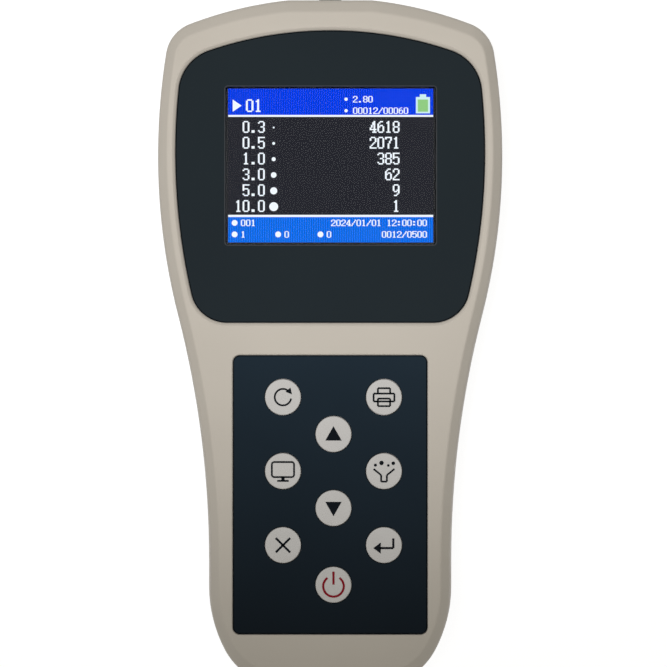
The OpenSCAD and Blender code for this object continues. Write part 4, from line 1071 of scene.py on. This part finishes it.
def blob(points, layer):
    """A flat shape in one of the thin layers of the screen's picture."""
    return prism_data([on_screen(*p) for p in points], panel_top + layer * layer_t,
                      panel_top + (layer + 1) * layer_t)


def patch(x0, y0, x1, y1, layer):
    return blob([(x0, y1), (x1, y1), (x1, y0), (x0, y0)], layer)


def dot(x, y, r):
    return blob(circle((x, y), r, steps=20), 2)


# Numerals on a grid five wide and nine high
numerals = {
    "0": ".###. #...# #...# #...# #...# #...# #...# #...# .###.",
    "1": "..#.. .##.. ..#.. ..#.. ..#.. ..#.. ..#.. ..#.. .###.",
    "2": ".###. #...# #...# ....# ...#. ..#.. .#... #.... #####",
    "3": ".###. #...# ....# ....# ..##. ....# ....# #...# .###.",
    "4": "...#. ..##. ..##. .#.#. .#.#. #..#. ##### ...#. ..###",
    "5": "##### #.... #.... ####. #...# ....# ....# #...# .###.",
    "6": "..##. .#... #.... #.##. ##..# #...# #...# #...# .###.",
    "7": "##### #...# ....# ...#. ...#. ..#.. ..#.. ..#.. ..#..",
    "8": ".###. #...# #...# #...# .###. #...# #...# #...# .###.",
    "9": ".###. #...# #...# #...# #..## .##.# ....# ...#. .##..",
    ".": "..... ..... ..... ..... ..... ..... ..... .##.. .##..",
    ":": "..... ..... .##.. .##.. ..... ..... .##.. .##.. .....",
    "/": "....# ....# ...#. ...#. ..#.. .#... .#... #.... #....",
    " ": "..... ..... ..... ..... ..... ..... ..... ..... .....",
}
grid_w = 6
grid_h = 9
bold_share = 0.2


def number(text, left, mid_y, cell_w, cell_h):
    """Numerals as flat patches, one for each run of lit cells, with strokes a little wider than a cell."""
    parts = []
    top = mid_y - grid_h * cell_h / 2
    bold = cell_w * bold_share
    for i, sign in enumerate(text):
        for row, line in enumerate(numerals[sign].split()):
            start = None
            for column, lit in enumerate(line + "."):
                if lit == "#" and start is None:
                    start = column
                if lit != "#" and start is not None:
                    x = left + (i * grid_w + start) * cell_w
                    parts.append(patch(x - bold, top + row * cell_h, x + (column - start) * cell_w + bold,
                                       top + (row + 1) * cell_h, 2))
                    start = None
    return parts


def number_ending(text, right, mid_y, cell_w, cell_h):
    return number(text, right - (len(text) * grid_w - 1) * cell_w, mid_y, cell_w, cell_h)


# Width and height of a numeral's cells
large = (2.2, 2.2)
middling = (2.0, 2.05)
small = (1.32, 1.12)
title_foot = 41
title_rule = 3
title_y = 26.5
title_lines = {16.5: "2.80", 34.4: "00012/00060"}
status_top = 200.4
status_rule = 3.4
white_parts = [patch(0, title_foot, columns, title_foot + title_rule, 1),
               patch(0, status_top - status_rule, columns, status_top, 1)]
# The title bar: a triangle, a number and two lines of numbers, each with its dot
white_parts += number("01", 28, title_y, *large)
white_parts.append(blob([(7, 17), (7, 36), (21, title_y)], 2))
for y, text in title_lines.items():
    white_parts += number(text, 195, y, *small)
for y in title_lines:
    white_parts.append(dot(184, y, 2.6))
# Channel sizes with a dot that grows with each, and their counts
channels = [("0.3", "4618", 1.5), ("0.5", "2071", 2.3), ("1.0", "385", 3.2), ("3.0", "62", 4.4),
            ("5.0", "9", 5.6), ("10.0", "1", 7.0)]
first_row_y = 59.7
row_step = 24.7
size_right = 56.8
dot_x = 71
count_right = 267.2
for i, (size, count, dot_r) in enumerate(channels):
    y = first_row_y + row_step * i
    white_parts += number_ending(size, size_right, y, *middling)
    white_parts += number_ending(count, count_right, y, *middling)
    white_parts.append(dot(dot_x, y + 1, dot_r))
# The status bar: two lines of numbers
upper_y = 209.5
lower_y = 227.5
status_right = 310
status_dot_r = 4.6
status_dots = {10: "1", 78: "0", 144: "0"}
white_parts += number("001", 20, upper_y, *small)
white_parts += number_ending("2024/01/01 12:00:00", status_right, upper_y, *small)
white_parts += number_ending("0012/0500", status_right, lower_y, *small)
for x, state in status_dots.items():
    white_parts.append(dot(x, lower_y, status_dot_r))
    white_parts += number(state, x + 10, lower_y, *small)
white_parts.append(dot(10, upper_y, status_dot_r))

screen_pieces = {
    "screen_field": (
        [patch(0, 0, columns, rows, 0)],
        glowing("lit_dark", srgb(40, 41, 48), 0.85)),
    "screen_title_bar": (
        [patch(0, 0, columns, title_foot, 1)],
        glowing("lit_blue", srgb(5, 61, 229), 1.0, stripe=0.25)),
    "screen_status_bar": (
        [patch(0, status_top, columns, rows, 1)],
        glowing("lit_light_blue", srgb(12, 108, 240), 1.0, stripe=0.3)),
    "screen_numbers": (
        white_parts,
        glowing("lit_white", srgb(240, 246, 252), 1.05)),
    "screen_charge_frame": (
        [patch(293, 13, 315, 38.5, 2), patch(299, 8.7, 309, 13, 2)],
        glowing("lit_pale_cyan", srgb(208, 241, 240), 1.0)),
    "screen_charge": (
        [patch(296, 17, 312, 36, 3)],
        glowing("lit_green", srgb(147, 206, 130), 1.0)),
}
for name, (parts, material) in screen_pieces.items():
    finish_piece(mesh_object(name, *merged(parts)), material)

# Black border between the lit area and the window's cut-out
border_reach = 0.6
border_r = 0.5
border_line = rounded_rect(screen_mid, opening_w + 2 * border_reach, opening_h + 2 * border_reach, border_r)
border = mesh_object("screen_border", *prism_data(border_line, panel_top, panel_top + layer_t))
boolean(border, box_data(lit_mid, screen_w, screen_h, panel_top - over, panel_top + over))
finish_piece(border, by_slot["screen"])

# ------------ air inlet
bore_r = 2.5
bore_chamfer = 0.4
bore_soft = 0.35
mouth_soft = 0.6
seat_soft = 0.25
shank_soft = 0.2
nozzle_r = (nozzle_high.x - nozzle_low.x) / 2
nozzle_len = nozzle_high.y - nozzle_low.y
shank_len = seat_y - nozzle_low.y
nozzle_profile = softened(
    [(bore_r, 0), (shank_d / 2, 0), (shank_d / 2, shank_len), (nozzle_r, shank_len),
     (nozzle_r, nozzle_len), (bore_r, nozzle_len), (bore_r, bore_chamfer)],
    [shank_soft, 0, seat_soft, mouth_soft, bore_soft])
nozzle_data = turned_data(nozzle_profile + nozzle_profile[:1], (0, nozzle_low.y, air_z), "y")
finish_piece(mesh_object("inlet_tube", *nozzle_data, weld=True), inlet_plastic,
             replaced=("inlet_nozzle",))

# ------------ floor and surroundings
floor_z = -0.2
floor_reach = 3000
floor_corners = [(sx * floor_reach, sy * floor_reach, floor_z) for sx, sy in quarters]
floor = mesh_object("floor", floor_corners, [(0, 1, 2, 3)])

# To the camera, also in a mirror or through glass, the floor is white with a faint shadow. The light that
# falls from it on the part is a light grey floor's.
floor_material = bpy.data.materials.new("floor")
tree = Tree(floor_material)
light_grey = tree.shader("ShaderNodeBsdfDiffuse", Color=(0.8, 0.8, 0.8))
shadowed = tree.shader("ShaderNodeBsdfDiffuse", Color=(0.24, 0.24, 0.24))
glow = tree.shader("ShaderNodeEmission", Strength=0.906)
white_floor = tree.add("ShaderNodeAddShader")
tree.link(shadowed, white_floor.inputs[0])
tree.link(glow, white_floor.inputs[1])
from_above = tree.mixed(tree.seen_share(), light_grey, white_floor.outputs[0])
# From below the floor is clear, so that the back can be looked at
from_below = tree.shader("ShaderNodeBsdfTransparent")
is_below = tree.add("ShaderNodeNewGeometry").outputs["Backfacing"]
tree.show(tree.mixed(is_below, from_above, from_below), "ShaderNodeOutputMaterial")
floor.data.materials.append(floor_material)

# The camera sees a white background, and the part is lit by a faint warm one
world = bpy.data.worlds.new("world")
bpy.context.scene.world = world
tree = Tree(world)
ambient = tree.shader("ShaderNodeBackground", Color=(1.0, 0.98, 0.89), Strength=0.4)
white = tree.shader("ShaderNodeBackground", Color=(1.0, 1.0, 1.0))
tree.show(tree.mixed(tree.seen_share(), ambient, white), "ShaderNodeOutputWorld")

# ------------ lamps and camera
lamp_colour = (0.99, 0.99, 1.0)


def lamp(name, kind, place, target, size, power):
    light = bpy.data.lights.new(name, kind)
    setattr(light, "size" if kind == "AREA" else "shadow_soft_size", size * MM)
    light.energy = power
    light.color = lamp_colour
    obj = bpy.data.objects.new(name, light)
    bpy.context.scene.collection.objects.link(obj)
    obj.location = Vector(place) * MM
    obj.rotation_mode = "QUATERNION"
    obj.rotation_quaternion = (Vector(target) - Vector(place)).to_track_quat("-Z", "Y")
    obj.visible_transmission = False
    return obj


# A spot from above, brightest at the head and fading towards the foot, and a faint light from one side.
# The spread is the lit circle's radius as a share of its distance.
spot_spread = 0.185
key_light = lamp("key_light", "SPOT", (-90, 20, 1050), (0, 56, 60), size=60, power=25)
key_light.data.spot_size = 2 * math.atan(spot_spread)
key_light.data.spot_blend = 1.0
key_light.visible_glossy = False
side_light = lamp("side_light", "AREA", (-500, 500, 500), (0, 20, 30), size=300, power=0.6)
side_light.data.shape = "DISK"

# The camera looks straight down on camera_mid, and px_per_mm is the picture's scale at the screen
image_px = 667
px_per_mm = 2.924
camera_reach = 1000
camera_mid = (1.16, -1.93)
nearest_seen = 50
farthest_seen = 20000
camera = bpy.data.cameras.new("camera")
camera.sensor_width = 36
camera.lens = camera.sensor_width * px_per_mm * camera_reach / image_px
camera.clip_start = nearest_seen * MM
camera.clip_end = farthest_seen * MM
camera_object = bpy.data.objects.new("camera", camera)
bpy.context.scene.collection.objects.link(camera_object)
camera_object.location = Vector((*camera_mid, panel_top + camera_reach)) * MM
bpy.context.scene.camera = camera_object
bpy.context.scene.view_settings.view_transform = "Standard"
